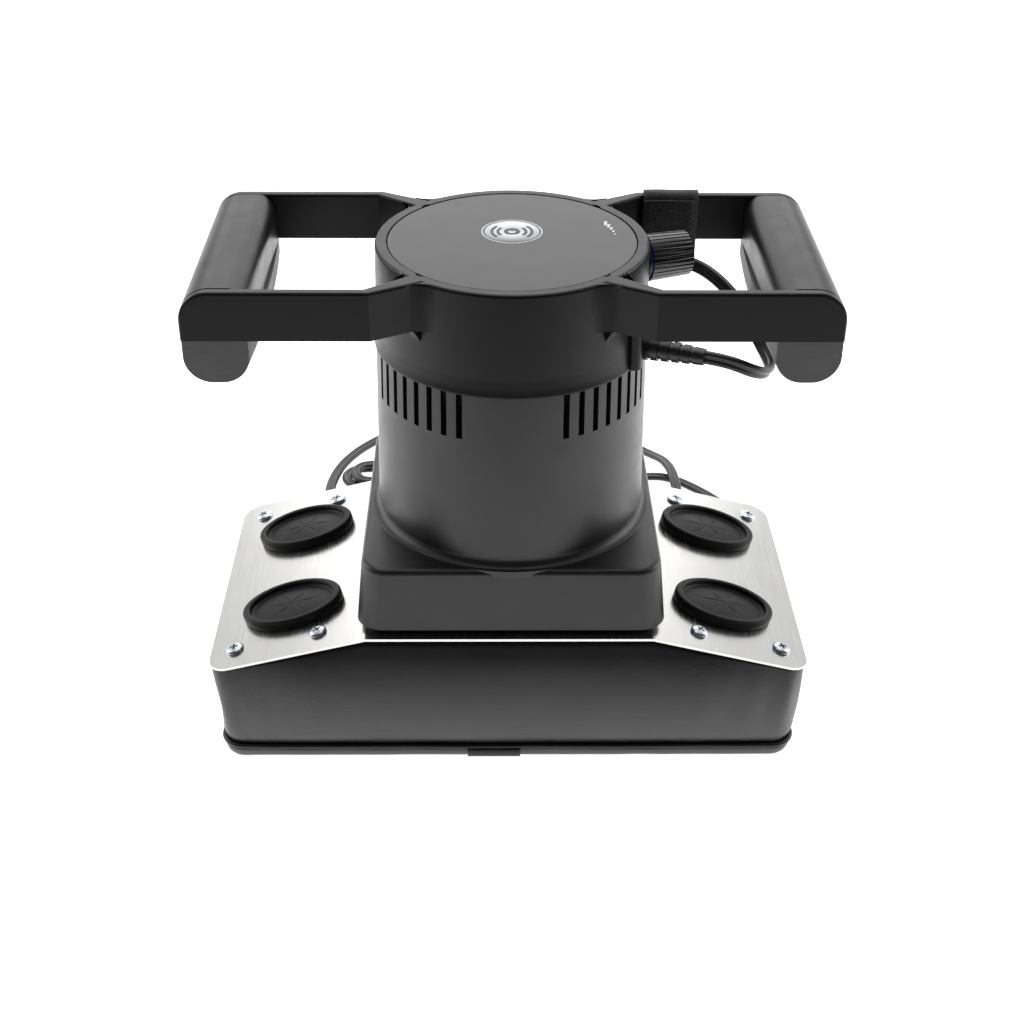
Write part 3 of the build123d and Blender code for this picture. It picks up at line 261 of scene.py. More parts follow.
def make_materials():
    """Every material by name. Most names are the record's material slots."""
    return {
        "housing_plastic": moulded("housing_plastic", (0.0055, 0.0055, 0.006), (0.0085, 0.0085, 0.0092),
                                   0.33, 0.42, Specular_IOR_Level=0.5),
        # painted shade: a darker, less glossy copy of the black housing plastic for the handle frame, to
        # darken its arms
        "frame_plastic_shaded": moulded("frame_plastic_shaded", (0.0030, 0.0030, 0.0033), (0.0048, 0.0048, 0.0052),
                                 0.32, 0.41, Specular_IOR_Level=0.26),
        "cover_plastic": moulded("cover_plastic", (0.008, 0.008, 0.009), (0.010, 0.010, 0.011),
                                 0.28, 0.33, 2200, 0.000001, Specular_IOR_Level=0.33),
        "print_white": moulded("print_white", (0.55, 0.56, 0.58), (0.72, 0.73, 0.75), 0.4, 0.5),
        "grip_plastic": moulded("grip_plastic", (0.040, 0.040, 0.041), (0.085, 0.085, 0.088),
                                0.46, 0.62, 620, 0.00030),
        "gasket_rubber": moulded("gasket_rubber", (0.006, 0.006, 0.006), (0.011, 0.011, 0.011), 0.55, 0.7),
        "plate_steel": metal("plate_steel", (0.57, 0.565, 0.55), (0.65, 0.645, 0.63),
                             0.18, 0.28, (1, 0.03, 1)),
        "screw_zinc": metal("screw_zinc", (0.36, 0.40, 0.44), (0.66, 0.69, 0.72), 0.2, 0.34),
        "grommet_rubber": moulded("grommet_rubber", (0.005, 0.005, 0.005), (0.009, 0.009, 0.009),
                                  0.40, 0.54, Specular_IOR_Level=0.25),
        "pad_vinyl": vinyl("pad_vinyl", 0.95),
        "piping_vinyl": vinyl("piping_vinyl", 0.4),
        "webbing": webbing("webbing", "X", "Y"),
        "webbing_x": webbing("webbing_x", "X", "Z"),
        "pile_band": pile("pile_band"),
        "knob_plastic": moulded("knob_plastic", (0.004, 0.004, 0.0045), (0.007, 0.007, 0.0075),
                                0.16, 0.26, 1800, 0.00002, Coat_Weight=0.4, Coat_Roughness=0.08),
        "collar_blue": moulded("collar_blue", (0.006, 0.010, 0.07), (0.012, 0.020, 0.13), 0.2, 0.3),
        "cord_pvc": moulded("cord_pvc", (0.009, 0.009, 0.009), (0.016, 0.016, 0.016),
                            0.28, 0.4, 1200, 0.00003),
        "brass": metal("brass", (0.62, 0.44, 0.17), (0.80, 0.62, 0.30), 0.2, 0.35),
        "steel": metal("steel", (0.42, 0.42, 0.43), (0.58, 0.58, 0.59), 0.22, 0.4, (1, 1, 0.05)),
        "lamination": laminated("lamination"),
        "copper_winding": wound("copper_winding"),
        "carbon": moulded("carbon", (0.02, 0.02, 0.02), (0.04, 0.04, 0.04), 0.5, 0.7),
        "nylon": moulded("nylon", (0.62, 0.60, 0.54), (0.74, 0.72, 0.66), 0.4, 0.5),
        "aluminium": metal("aluminium", (0.60, 0.60, 0.61), (0.74, 0.74, 0.75), 0.35, 0.5),
        "iron": metal("iron", (0.12, 0.12, 0.125), (0.22, 0.22, 0.23), 0.5, 0.7),
        "plywood": grained("plywood", (0.42, 0.27, 0.13), (0.66, 0.48, 0.28)),
        "foam": grained("foam", (0.60, 0.56, 0.42), (0.78, 0.75, 0.62)),
        "circuit": moulded("circuit", (0.01, 0.10, 0.04), (0.02, 0.17, 0.07), 0.3, 0.4),
    }


def dress_nodes(materials):
    """Every CAD node gets its slot's material, but the handle frame a darker, less glossy copy of the black
    plastic, which is painted shade on its arms.
    """
    slots = {row["node"]: row["material_slot"] for row in frame["record"]["subparts"]}
    for name, node in nodes.items():
        node.data.materials.clear()
        node.data.materials.append(materials[slots[name]])
    # the handle frame's darker copy of the plastic is painted shade
    nodes["handle_frame"].data.materials[0] = materials["frame_plastic_shaded"]


# ---------------------------------------------------------------- mesh helpers
def add_piece(name, verts, faces, material, body, smooth=True, sharp=None):
    mesh = bpy.data.meshes.new(name)
    mesh.from_pydata([tuple(v) for v in verts], [], faces)
    mesh.validate()
    work = bmesh.new()
    work.from_mesh(mesh)
    bmesh.ops.remove_doubles(work, verts=work.verts, dist=1e-6)
    bmesh.ops.recalc_face_normals(work, faces=work.faces)
    work.to_mesh(mesh)
    work.free()
    for polygon in mesh.polygons:
        polygon.use_smooth = smooth
    if sharp:
        mesh.set_sharp_from_angle(angle=math.radians(sharp))
    mesh.materials.append(material)
    piece = bpy.data.objects.new(name, mesh)
    scene.collection.objects.link(piece)
    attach(piece, body)
    return piece


def skin_rings(rings, closed_ends=True):
    """Faces between rings of equal length, each ring a closed loop of points."""
    count = len(rings[0])
    verts = [p for ring in rings for p in ring]
    faces = []
    for row in range(len(rings) - 1):
        for i in range(count):
            j = (i + 1) % count
            faces.append((row * count + i, row * count + j, (row + 1) * count + j, (row + 1) * count + i))
    if closed_ends:
        faces.append(tuple(range(count))[::-1])
        last = (len(rings) - 1) * count
        faces.append(tuple(range(last, last + count)))
    return verts, faces


# ---------------------------------------------------------------- upper housing
# the ring's outer radius at its top and how much it widens down to the skirt's edge, in millimetres
RING_TOP, RING_RADIUS = 280.8, 71.5
SKIRT_HEIGHT, SKIRT_WIDENS = 55.3, 1.2


def make_skirt_edge(materials):
    """The upper housing's skirt flares out to a rounded edge that overhangs the motor housing's vents."""
    profile = [(72.2, 238.0), (72.52, 234.0), (72.75, 230.5), (73.1, 228.0), (73.45, 226.6), (73.6, 225.95),
               (73.5, 225.5), (73.2, 225.35), (72.3, 225.45)]
    steps = 240
    rings = []
    for radius, z in profile:
        angles = [2 * math.pi * i / steps for i in range(steps)]
        rings.append([(radius * MM * math.cos(a), radius * MM * math.sin(a), z * MM) for a in angles])
    verts, faces = skin_rings(rings + rings[:1], closed_ends=False)
    add_piece("skirt_edge", verts, faces, materials["frame_plastic_shaded"], "housing", sharp=60)


def fillet_between(line_from, line_to, ring_radius, radius):
    """Centre and two tangent points of a fillet between a line and the outside of a ring round the axis."""
    wrong_side = 100
    start, end = Vector(line_from), Vector(line_to)
    along = (end - start).normalized()
    side = Vector((-along.y, along.x))
    best = None
    for sign in (1, -1):
        base = start + side * radius * sign
        # points base + along * t at a distance ring_radius + radius from the axis
        half = base.dot(along)
        gap = base.length_squared - (ring_radius + radius) ** 2
        for root in (1, -1):
            inside = half * half - gap
            if inside < 0:
                continue
            centre = base + along * (-half + root * math.sqrt(inside))
            cost = (centre - start).length + wrong_side * (sign != 1)
            if best is None or cost < best[0]:
                best = (cost, centre, centre - side * radius * sign)
    centre, on_line = best[1:]
    return centre, on_line, centre * (ring_radius / centre.length)


def make_arm_fillets(materials):
    """Soft concave webs where the four arms run into the ring, inside and outside."""
    # each face of an arm: its knee, where its line meets the ring, the fillet's radius, whether it is inside
    faces_of_arm = (((70.5, 68.6), (43.0, 53.5), 13.0, False), ((73.2, 62.6), (50.0, 45.1), 7.5, True))
    # height, and how far the rounded top edge steps back there
    levels = ((255.3, 0.0), (262.0, 0.0), (270.0, 0.0), (278.9, 0.0), (279.7, 0.15), (280.3, 0.5),
              (280.72, 1.15))
    arc_steps = 14
    for index, (sx, sy) in enumerate(((1, 1), (-1, 1), (-1, -1), (1, -1))):
        for knee, junction, radius, inner in faces_of_arm:
            if inner and (sx, sy) == (1, 1):
                radius = 5.0  # the speed knob leaves less room here
            rings = []
            for z, back in levels:
                ring_radius = RING_RADIUS + SKIRT_WIDENS * (RING_TOP - z) / SKIRT_HEIGHT - back
                line_from, line_to = (knee, junction) if inner else (junction, knee)
                centre, on_line, on_ring = fillet_between(line_from, line_to, ring_radius, radius + back)
                first, last = on_line - centre, on_ring - centre
                sweep = first.angle_signed(last)
                arc = []
                for step in range(arc_steps + 1):
                    a = -sweep * step / arc_steps
                    arc.append(centre + Vector((first.x * math.cos(a) - first.y * math.sin(a),
                                                first.x * math.sin(a) + first.y * math.cos(a))))
                # two points inside the ring's wall close the section
                middle = on_ring * 0.955
                corner = on_line * 0.5 + on_ring * 0.5
                corner = corner * (69.0 / corner.length)
                rings.append([Vector((sx * q.x * MM, sy * q.y * MM, z * MM)) for q in arc + [middle, corner]])
            verts, faces = skin_rings(rings)
            add_piece(f"arm_fillet_{index + 1}_{'inner' if inner else 'outer'}", verts, faces,
                      materials["frame_plastic_shaded"], "housing", sharp=40)


def make_emblem(materials):
    """A plain mark printed on the cover: a pale ring round a pale disc with a dark ring and waves on it."""
    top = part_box("top_cover")[1].z
    centre = Vector((0.0, 0.0105))

    def flat(name, outlines, lift, material, slot):
        verts, faces = [], []
        for outer, inner in outlines:
            base, count = len(verts), len(outer)
            for ring in (outer, inner):
                verts += [Vector((centre.x + x * MM, centre.y + y * MM, top + lift)) for x, y in ring]
            for i in range(count - 1):
                faces.append((base + i, base + i + 1, base + count + i + 1, base + count + i))
        piece = add_piece(name, verts, faces, material, "housing")
        piece.modifiers.new("thickness", "SOLIDIFY").thickness = 0.00003

    def arc(radius, start, end, steps=64):
        angles = [math.radians(start + (end - start) * i / steps) for i in range(steps + 1)]
        return [(radius * math.cos(a), radius * math.sin(a)) for a in angles]

    def circle(radius):
        return arc(radius, 0, 360)

    flat("emblem_pale", [(circle(16.2), circle(15.4)), (circle(14.4), circle(0.05))], 0.00004,
         materials["print_white"], "print_white")
    waves = [(circle(4.2), circle(2.2))]
    half_width, half_angle = 0.8, 42
    for radius in (7.4, 10.6):
        for middle in (0, 180):
            start, end = middle - half_angle, middle + half_angle
            waves.append((arc(radius + half_width, start, end, 24), arc(radius - half_width, start, end, 24)))
    flat("emblem_dark", waves, 0.0001, materials["cover_plastic"], "cover_plastic")


# ---------------------------------------------------------------- plate frame
plate_low, plate_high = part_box("top_plate")
plate_x = (plate_low.x + plate_high.x) / 2
plate_y = (plate_low.y + plate_high.y) / 2
plate_half_x = (plate_high.x - plate_low.x) / 2
plate_half_y = (plate_high.y - plate_low.y) / 2
plate_top = plate_high.z
BEND_X = 78 * MM
WING = math.radians(14.4)
SHEET = 1.5 * MM


def plate_height(x):
    """Height of the plate's top face at x from its centre line."""
    return plate_top - max(0.0, abs(x) - BEND_X) * math.tan(WING)


def on_wing(x, y):
    """A matrix with its origin on the plate's top face at x, y from its centre, Z along the wing's normal."""
    side = 1 if x > 0 else -1
    turn = Matrix.Rotation(WING * side, 4, "Y")
    return Matrix.Translation((plate_x + x, plate_y + y, plate_height(x))) @ turn


# ---------------------------------------------------------------- grommets and screws
GROMMET_SPOTS = [(sx * 121.2 * MM, sy * 40 * MM) for sx in (1, -1) for sy in (1, -1)]
GROMMET_X, GROMMET_Y = 29, 20
SCREW_SPOTS = [(sx * x * MM, sy * 69 * MM) for x in (105, 151.3) for sx in (1, -1) for sy in (1, -1)]


def make_grommets(materials):
    """Oval rubber grommets: a rounded rim, a step inside it and a domed diaphragm with crossing slits."""
    # (share of the outer oval, height in mm) from the plate outwards and over the rim to the diaphragm
    profile = [(0.93, -1.0), (0.985, 0.2), (1.0, 1.2), (1.0, 4.6), (0.985, 5.5), (0.955, 6.0), (0.90, 6.0),
               (0.865, 5.7), (0.85, 5.0), (0.845, 3.6), (0.83, 3.1), (0.79, 2.9), (0.74, 3.0), (0.6, 3.5),
               (0.45, 3.9), (0.3, 4.2), (0.16, 4.35), (0.06, 4.4)]
    steps = 96
    slit_share = 0.40
    for index, (x, y) in enumerate(GROMMET_SPOTS):
        place = on_wing(x, y)
        rings = []
        for share, height in profile:
            ring = []
            for i in range(steps):
                a = 2 * math.pi * i / steps
                lift = height
                if share < 0.5:
                    # the rubber sinks towards each slit
                    ray = abs(math.sin(3 * a))
                    lift -= 0.5 * max(0.0, 1 - ray / 0.25) * min(1.0, (0.5 - share) * 5)
                ring.append(place @ Vector((GROMMET_X * MM * share * math.cos(a),
                                            GROMMET_Y * MM * share * math.sin(a), lift * MM)))
            rings.append(ring)
        verts, faces = skin_rings(rings)
        grommet = add_piece(f"grommet_{index + 1}", verts, faces, materials["grommet_rubber"],
                            "pad", sharp=50)
        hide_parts("grommets")
        for ray in range(3):
            a = math.radians(60 * ray)
            along = Vector((GROMMET_X * math.cos(a), GROMMET_Y * math.sin(a), 0)).normalized()
            side = Vector((-along.y, along.x, 0))
            reach = slit_share * math.hypot(GROMMET_X * math.cos(a), GROMMET_Y * math.sin(a))
            points = []
            for t in (-1, -0.5, 0, 0.5, 1):
                for s in (-0.3, 0.3):
                    flat = along * reach * t + side * s * (1 - 0.7 * abs(t))
                    share = math.hypot(flat.x / GROMMET_X, flat.y / GROMMET_Y)
                    height = (4.12 - 1.5 * share) * MM + 0.0003
                    points.append(place @ Vector((flat.x * MM, flat.y * MM, height)))
            strip = [(2 * i, 2 * i + 1, 2 * i + 3, 2 * i + 2) for i in range(4)]
            slit = add_piece(f"grommet_{index + 1}_slit_{ray + 1}", points, strip, materials["gasket_rubber"],
                             "pad")
            slit.modifiers.new("thick", "SOLIDIFY").thickness = 0.0002


def make_screws(materials):
    """Pan-head screws with a cross recess, each turned to its own angle."""
    profile = [(1.0, 0.0), (1.0, 0.55), (0.97, 1.1), (0.88, 1.8), (0.72, 2.3), (0.5, 2.55), (0.3, 2.62)]
    # a slot of the recess: half length, half width and height of its mouth and of its floor
    slot_levels = ((2.7, 0.62, 3.2), (1.5, 0.4, 1.1))
    quads = [(0, 1, 2, 3), (7, 6, 5, 4), (0, 4, 5, 1), (1, 5, 6, 2), (2, 6, 7, 3), (3, 7, 4, 0)]
    steps = 48
    radius = 5.2 * MM
    for index, (x, y) in enumerate(SCREW_SPOTS):
        place = on_wing(x, y) @ Matrix.Rotation(math.radians(37 * index + 12), 4, "Z")
        rings = [[place @ Vector((radius * share * math.cos(2 * math.pi * i / steps),
                                  radius * share * math.sin(2 * math.pi * i / steps), height * MM))
                  for i in range(steps)] for share, height in profile]
        verts, faces = skin_rings(rings)
        screw = add_piece(f"plate_screw_{index + 1}", verts, faces, materials["screw_zinc"],
                          "pad", sharp=60)
        for turn in (0, math.pi / 2):
            corners = []
            for wide, deep, height in slot_levels:
                for sx, sy in ((1, 1), (-1, 1), (-1, -1), (1, -1)):
                    corner = Vector((sx * wide * MM, sy * deep * MM, height * MM))
                    corner.rotate(Matrix.Rotation(turn, 3, "Z"))
                    corners.append(tuple(place @ corner))
            mesh = bpy.data.meshes.new("cutter")
            mesh.from_pydata(corners, [], quads)
            cutter = bpy.data.objects.new("cutter", mesh)
            scene.collection.objects.link(cutter)
            cut = screw.modifiers.new("recess", "BOOLEAN")
            cut.object = cutter
            cut.operation = "DIFFERENCE"
            bpy.context.view_layer.update()
            done = bpy.data.meshes.new_from_object(screw.evaluated_get(bpy.context.evaluated_depsgraph_get()))
            screw.modifiers.clear()
            screw.data = done
            bpy.data.objects.remove(cutter)
        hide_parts("plate_screws")


# ---------------------------------------------------------------- upholstered pad
FOOT_X, FOOT_Y = 161.3 * MM, 83.8 * MM
CORNER = 12 * MM
SEAM_Z = 8.6 * MM


def pad_outline(half_x, half_y, corner, per_corner=14, along_x=96, along_y=48):
    """Points round a rounded rectangle with the way out at each, starting on the front edge."""
    points = []

    def straight(start, end, count, out):
        for i in range(count):
            t = i / count
            points.append((start[0] + (end[0] - start[0]) * t, start[1] + (end[1] - start[1]) * t, *out))

    def bend(cx, cy, from_angle):
        for i in range(per_corner):
            a = from_angle + math.pi / 2 * i / per_corner
            points.append((cx + corner * math.cos(a), cy + corner * math.sin(a), math.cos(a), math.sin(a)))

    ix, iy = half_x - corner, half_y - corner
    straight((-ix, -half_y), (ix, -half_y), along_x, (0, -1))
    bend(ix, -iy, -math.pi / 2)
    straight((half_x, -iy), (half_x, iy), along_y, (1, 0))
    bend(ix, iy, 0)
    straight((ix, half_y), (-ix, half_y), along_x, (0, 1))
    bend(-ix, iy, math.pi / 2)
    straight((-half_x, iy), (-half_x, -iy), along_y, (-1, 0))
    bend(-ix, -iy, math.pi)
    return points


def seam_lift(x, y):
    """The seam rises towards the corners and wanders a little."""
    rise = 2.0 * max(abs(x) / FOOT_X, 0.8 * abs(y) / FOOT_Y) ** 2
    return (rise + 0.55 * noise.noise(Vector((x * 21, y * 21, 2.0)))) * MM


def corner_nearness(x, y):
    """1 at the pad's corners, falling to 0 a hand's width away."""
    dx = (FOOT_X - abs(x)) / (55 * MM)
    dy = (FOOT_Y - abs(y)) / (45 * MM)
    return max(0.0, 1 - math.hypot(dx, dy))


def make_pad(materials):
    """The vinyl cover: crowned sides, folds near the corners, and a seam above the rounded bottom panel."""
    rings = []
    side_rows = 22
    for row in range(side_rows + 1):
        t = row / side_rows
        ring = []
        for x, y, nx, ny in pad_outline(FOOT_X, FOOT_Y, CORNER):
            top = plate_height(x) - SHEET - 0.2 * MM
            z = top + (SEAM_Z + seam_lift(x, y) - top) * t
            widen_x = (plate_half_x - FOOT_X - 0.6 * MM) * (z - SEAM_Z) / (63 * MM - SEAM_Z)
            widen_y = (plate_half_y - FOOT_Y - 0.4 * MM) * (z - SEAM_Z) / (85 * MM - SEAM_Z)
            belly = math.sin(math.pi * t ** 0.9)
            near = corner_nearness(x, y)
            pulled_in = 1.5 * MM * max(0.0, (t - 0.88) / 0.12)
            swell = 5.0 * MM * belly * (1 - near) - 1.6 * MM * near * belly - pulled_in
            wave = noise.noise(Vector((x * 38, y * 38, z * 30 + 4.0)))
            fold = noise.noise(Vector((x * 95 + 7, y * 95, z * 22)))
            swell += (0.7 * wave + 2.6 * near * fold) * MM * belly
            px = x * (1 + widen_x / FOOT_X) + nx * swell
            py = y * (1 + widen_y / FOOT_Y) + ny * swell
            ring.append(Vector((plate_x + px, plate_y + py, z)))
        rings.append(ring)
    # tuck under the piping, then round under to the flat bottom
    tuck = [(-1.6, 8.3), (-1.5, 7.6), (-0.3, 6.7), (-0.1, 5.3), (-0.9, 3.2), (-2.4, 1.5), (-4.6, 0.5),
            (-7.5, 0.12), (-14, 0.05), (-30, 0.05), (-55, 0.05)]
    for inset, z in tuck:
        ring = []
        for x, y, nx, ny in pad_outline(FOOT_X, FOOT_Y, CORNER):
            if inset < -10:
                share = max(0.0, 1 + inset * MM / FOOT_Y)
                place = Vector((plate_x + x * share, plate_y + y * share, z * MM))
            else:
                step = inset * MM + 0.25 * MM * noise.noise(Vector((x * 60, y * 60, z)))
                place = Vector((plate_x + x + nx * step, plate_y + y + ny * step, z * MM))
            place.z += seam_lift(x, y) * max(0.0, (z - 3) / 6)
            in_strap = -25.6 * MM < place.x < 6.9 * MM
            if in_strap and z < 3:
                place.z = max(place.z, 1.55 * MM)
            ring.append(place)
        rings.append(ring)
    verts, faces = skin_rings(rings)
    cover = add_piece("pad_upholstery", verts, faces, materials["pad_vinyl"], "pad")
    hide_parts("pad_cover", "pad_bottom_panel", "foam_pad", "backing_board")
    # piping round the seam
    bead = []
    for x, y, nx, ny in pad_outline(FOOT_X, FOOT_Y, CORNER):
        bead.append((Vector((plate_x + x, plate_y + y, SEAM_Z + seam_lift(x, y))), Vector((nx, ny, 0))))
    section = 12
    angles = [2 * math.pi * k / section for k in range(section)]
    bead_rings = []
    for point, out in bead + bead[:1]:
        bead_rings.append([point + (out * math.cos(a) + UP * math.sin(a)) * 1.45 * MM for a in angles])
    verts, faces = skin_rings(bead_rings, closed_ends=False)
    piping = add_piece("pad_piping", verts, faces, materials["piping_vinyl"], "pad")
    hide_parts("pad_welt")
    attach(piping, "pad")


# ---------------------------------------------------------------- straps
def ribbon(name, line, across, width, thick, material, body, closed=False, ripple=0.0, columns=8):
    """A strip of cloth that follows a line, its width along across, with softly waving edges."""
    across = Vector(across)
    verts = []
    for i, point in enumerate(line):
        for k in range(columns + 1):
            t = k / columns - 0.5
            sway = ripple * noise.noise(Vector((i * 0.23, t * 2.2, len(line) * 0.1)))
            along = Vector(line[(i + 1) % len(line)]) - Vector(line[i - 1])
            verts.append(Vector(point) + across * (width * t + 0.6 * sway)
                         + across.cross(along).normalized() * sway)
    faces = []
    last = len(line) if closed else len(line) - 1
    for i in range(last):
        j = (i + 1) % len(line)
        for k in range(columns):
            row = columns + 1
            faces.append((i * row + k, j * row + k, j * row + k + 1, i * row + k + 1))
    piece = add_piece(name, verts, faces, material, body)
    cloth = piece.modifiers.new("thickness", "SOLIDIFY")
    cloth.thickness = thick
    cloth.offset = 0
    return piece


def rounded_loop(low, high, corner, steps=7, spacing=0.002):
    """Points round a rectangle with rounded corners, in two coordinates, evenly dense."""
    points = []
    corners = ((high[0], low[1], -90), (high[0], high[1], 0), (low[0], high[1], 90), (low[0], low[1], 180))
    for x, y, start in corners:
        cx = x - math.copysign(corner, x - (low[0] + high[0]) / 2)
        cy = y - math.copysign(corner, y - (low[1] + high[1]) / 2)
        for step in range(steps):
            a = math.radians(start + 90 * step / (steps - 1))
            points.append((cx + corner * math.cos(a), cy + corner * math.sin(a)))
    dense = []
    for (ax, ay), (bx, by) in zip(points, points[1:] + points[:1]):
        count = max(1, round(math.hypot(bx - ax, by - ay) / spacing))
        dense += [(ax + (bx - ax) * i / count, ay + (by - ay) * i / count) for i in range(count)]
    return dense


def make_straps(materials):
    """The band round the arm with its loose end, the band under the pad and the tie round the spare lead."""
    low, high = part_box("arm_strap")
    wall = 0.0011
    loop = rounded_loop((low.y + wall, low.z + wall), (high.y - wall, high.z - wall), 0.0032)
    middle_x, width = (low.x + high.x) / 2, high.x - low.x - 0.001
    line = [(middle_x, y, z) for y, z in loop]
    band = ribbon("arm_band", line, (1, 0, 0), width, 0.0019, materials["pile_band"], "housing",
                  closed=True, ripple=0.0003)
    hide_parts("arm_strap")
    end = [(middle_x - 0.001, low.y - 0.0003, high.z - 0.004 - 0.0018 * i) for i in range(12)]
    flap = ribbon("arm_band_end", end, (1, 0, 0), width - 0.002, 0.0014, materials["webbing_x"],
                  "housing", ripple=0.0004)
    low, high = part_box("bottom_strap")
    half = 0.00075
    corner = 0.0062
    line = []
    for y, start in ((low.y + half, 180), (high.y - half, 270)):
        cy = y + math.copysign(corner, -(y - plate_y))
        arc = [math.radians(start + 90 * step / 8) for step in range(9)]
        turn = [(cy + corner * math.cos(a), half + corner + corner * math.sin(a)) for a in arc]
        line += [(y, high.z)] + turn if start == 180 else turn + [(y, high.z)]
        if start == 180:
            flat_y = [cy + (plate_y - cy) * 2 * i / 60 for i in range(1, 60)]
            line += [(fy, half) for fy in flat_y]
    middle_x = (low.x + high.x) / 2
    line = [(middle_x, y, z) for y, z in line]
    webbing_band = ribbon("under_band", line, (1, 0, 0), high.x - low.x, 0.0015, materials["webbing"],
                          "pad")
    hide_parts("bottom_strap")
    low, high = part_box("cord_tie")
    loop = rounded_loop((0.2150, 0.0006), (0.2330, 0.0130), 0.0045)
    tie = ribbon("lead_tie", [((low.x + high.x) / 2, y, z) for y, z in loop], (1, 0, 0), 0.0118, 0.0011,
                 materials["pile_band"], "housing", closed=True, ripple=0.0002)
    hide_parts("cord_tie")


# ---------------------------------------------------------------- cord
CORD_WIDTH, CORD_THICK = 7.4 * MM, 3.8 * MM
EXIT_ANGLE = math.radians(-21.5)


def from_axis(radius, z):
    return (radius * math.cos(EXIT_ANGLE), radius * math.sin(EXIT_ANGLE), z)


FLOOR_Z = 2.8
CORD_ROUTE = [
    from_axis(107, 232), from_axis(114.5, 232),
    # a low sweep round in front of the right grip, then back towards the arm with the strap
    (115.2, -44.8, 230.6), (124, -44, 226.4), (131.8, -38, 221.8), (136.3, -28, 219.3), (136.8, -17.5, 219.8),
    (134.2, -6.5, 222.8), (129.5, 3.5, 230), (123, 12.5, 239.5), (113.5, 25.5, 246.5), (103.5, 39.5, 249),
    (91, 49.5, 248.5), (77, 55, 248),
    # under the arm and down behind the housing
    (64, 62.5, 247), (51, 77, 240), (39, 98, 213), (33, 108, 180), (31, 112, 140), (30, 114, 98),
    (28, 117, 58), (18, 121, 27), (-6, 114, 7),
    # a large loop on the floor
    (-40, 103, FLOOR_Z), (-78, 111, FLOOR_Z), (-108, 140, FLOOR_Z), (-125, 177, FLOOR_Z),
    (-128, 214, FLOOR_Z), (-118, 251, FLOOR_Z), (-95, 282, FLOOR_Z), (-63, 305, FLOOR_Z),
    (-25, 316, FLOOR_Z), (15, 315, FLOOR_Z), (52, 304, FLOOR_Z), (84, 282, FLOOR_Z),
    # over its own tail, round to the right, under itself and into the hank
    (107, 254, 5), (119, 231, 11), (122.5, 198, 11), (119.5, 168, 4.5), (120, 147, FLOOR_Z),
    (128, 130, FLOOR_Z), (144, 121, FLOOR_Z), (161, 128, FLOOR_Z), (167, 146, FLOOR_Z), (162, 172, FLOOR_Z),
    (145, 199, FLOOR_Z), (120, 224, FLOOR_Z), (98, 224, FLOOR_Z),
]
# the hank: turns of a flattened coil, each (half length, half width, height), centred on the hank's solid
HANK_TURNS = [(94, 13.6, 2.2), (88, 13.0, 6.1)]


def hank_points():
    """Two turns laid on each other, pinched at the tie, then across the top to the plug."""
    cx, cy = -9.0, 224.0
    climb = 3.9
    points = [(82, 222, 2.3)]
    for half_length, half_width, z in HANK_TURNS:
        near = [(50, cy - 9.5, z), (28, cy - 4.6, z), (8, cy - 4.0, z), (-14, cy - 5.2, z),
                (-44, cy - 10.5, z), (-72, cy - half_width, z)]
        left = []
        for step in range(5):
            a = math.radians(-90 - 22.5 - 33.75 * step)
            left.append((cx - half_length + half_width * math.cos(a), cy + half_width * math.sin(a), z))
        far = [(-72, cy + half_width, z), (-42, cy + 10.5, z), (-14, cy + 5.2, z), (8, cy + 4.0, z),
               (28, cy + 4.6, z), (50, cy + 9.5, z)]
        right = []
        for step in range(5):
            a = math.radians(90 - 22.5 - 33.75 * step)
            rise = climb * (step + 1) / 5
            right.append((cx + half_length + half_width * math.cos(a), cy + half_width * math.sin(a),
                          z + rise))
        points += near + left + far + right
    points += [(62, 213, 10), (40, 219, 10), (22, 223.5, 10), (4, 225, 10), (-10, 221.5, 10), (-19, 213, 9.6),
               (-20, 206, 8.6)]
    return points


def route_spline():
    """One smooth curve through the whole cord."""
    curve = bpy.data.curves.new("cord_route", "CURVE")
    curve.dimensions = "3D"
    curve.resolution_u = 8
    spline = curve.splines.new("NURBS")
    route = CORD_ROUTE + hank_points()
    spline.points.add(len(route) - 1)
    for point, place in zip(spline.points, route):
        point.co = (place[0] * MM, place[1] * MM, place[2] * MM, 1)
    spline.order_u = 3
    spline.use_endpoint_u = True
    holder = bpy.data.objects.new("cord_route", curve)
    scene.collection.objects.link(holder)
    bpy.context.view_layer.update()
    mesh = bpy.data.meshes.new_from_object(holder.evaluated_get(bpy.context.evaluated_depsgraph_get()))
    line = [v.co.copy() for v in mesh.vertices]
    bpy.data.objects.remove(holder)
    bpy.data.meshes.remove(mesh)
    return line


def cord_section():
    """Outline of the flat two-core cord: two round lobes with a groove between them, in (across, through)."""
    lobe = CORD_THICK / 2
    centre = CORD_WIDTH / 2 - lobe
    outline = []
    for side in (1, -1):
        for step in range(11):
            a = math.radians(-143 + 28.6 * step)
            outline.append((side * (centre + lobe * math.cos(a)), side * lobe * math.sin(a)))
    return outline


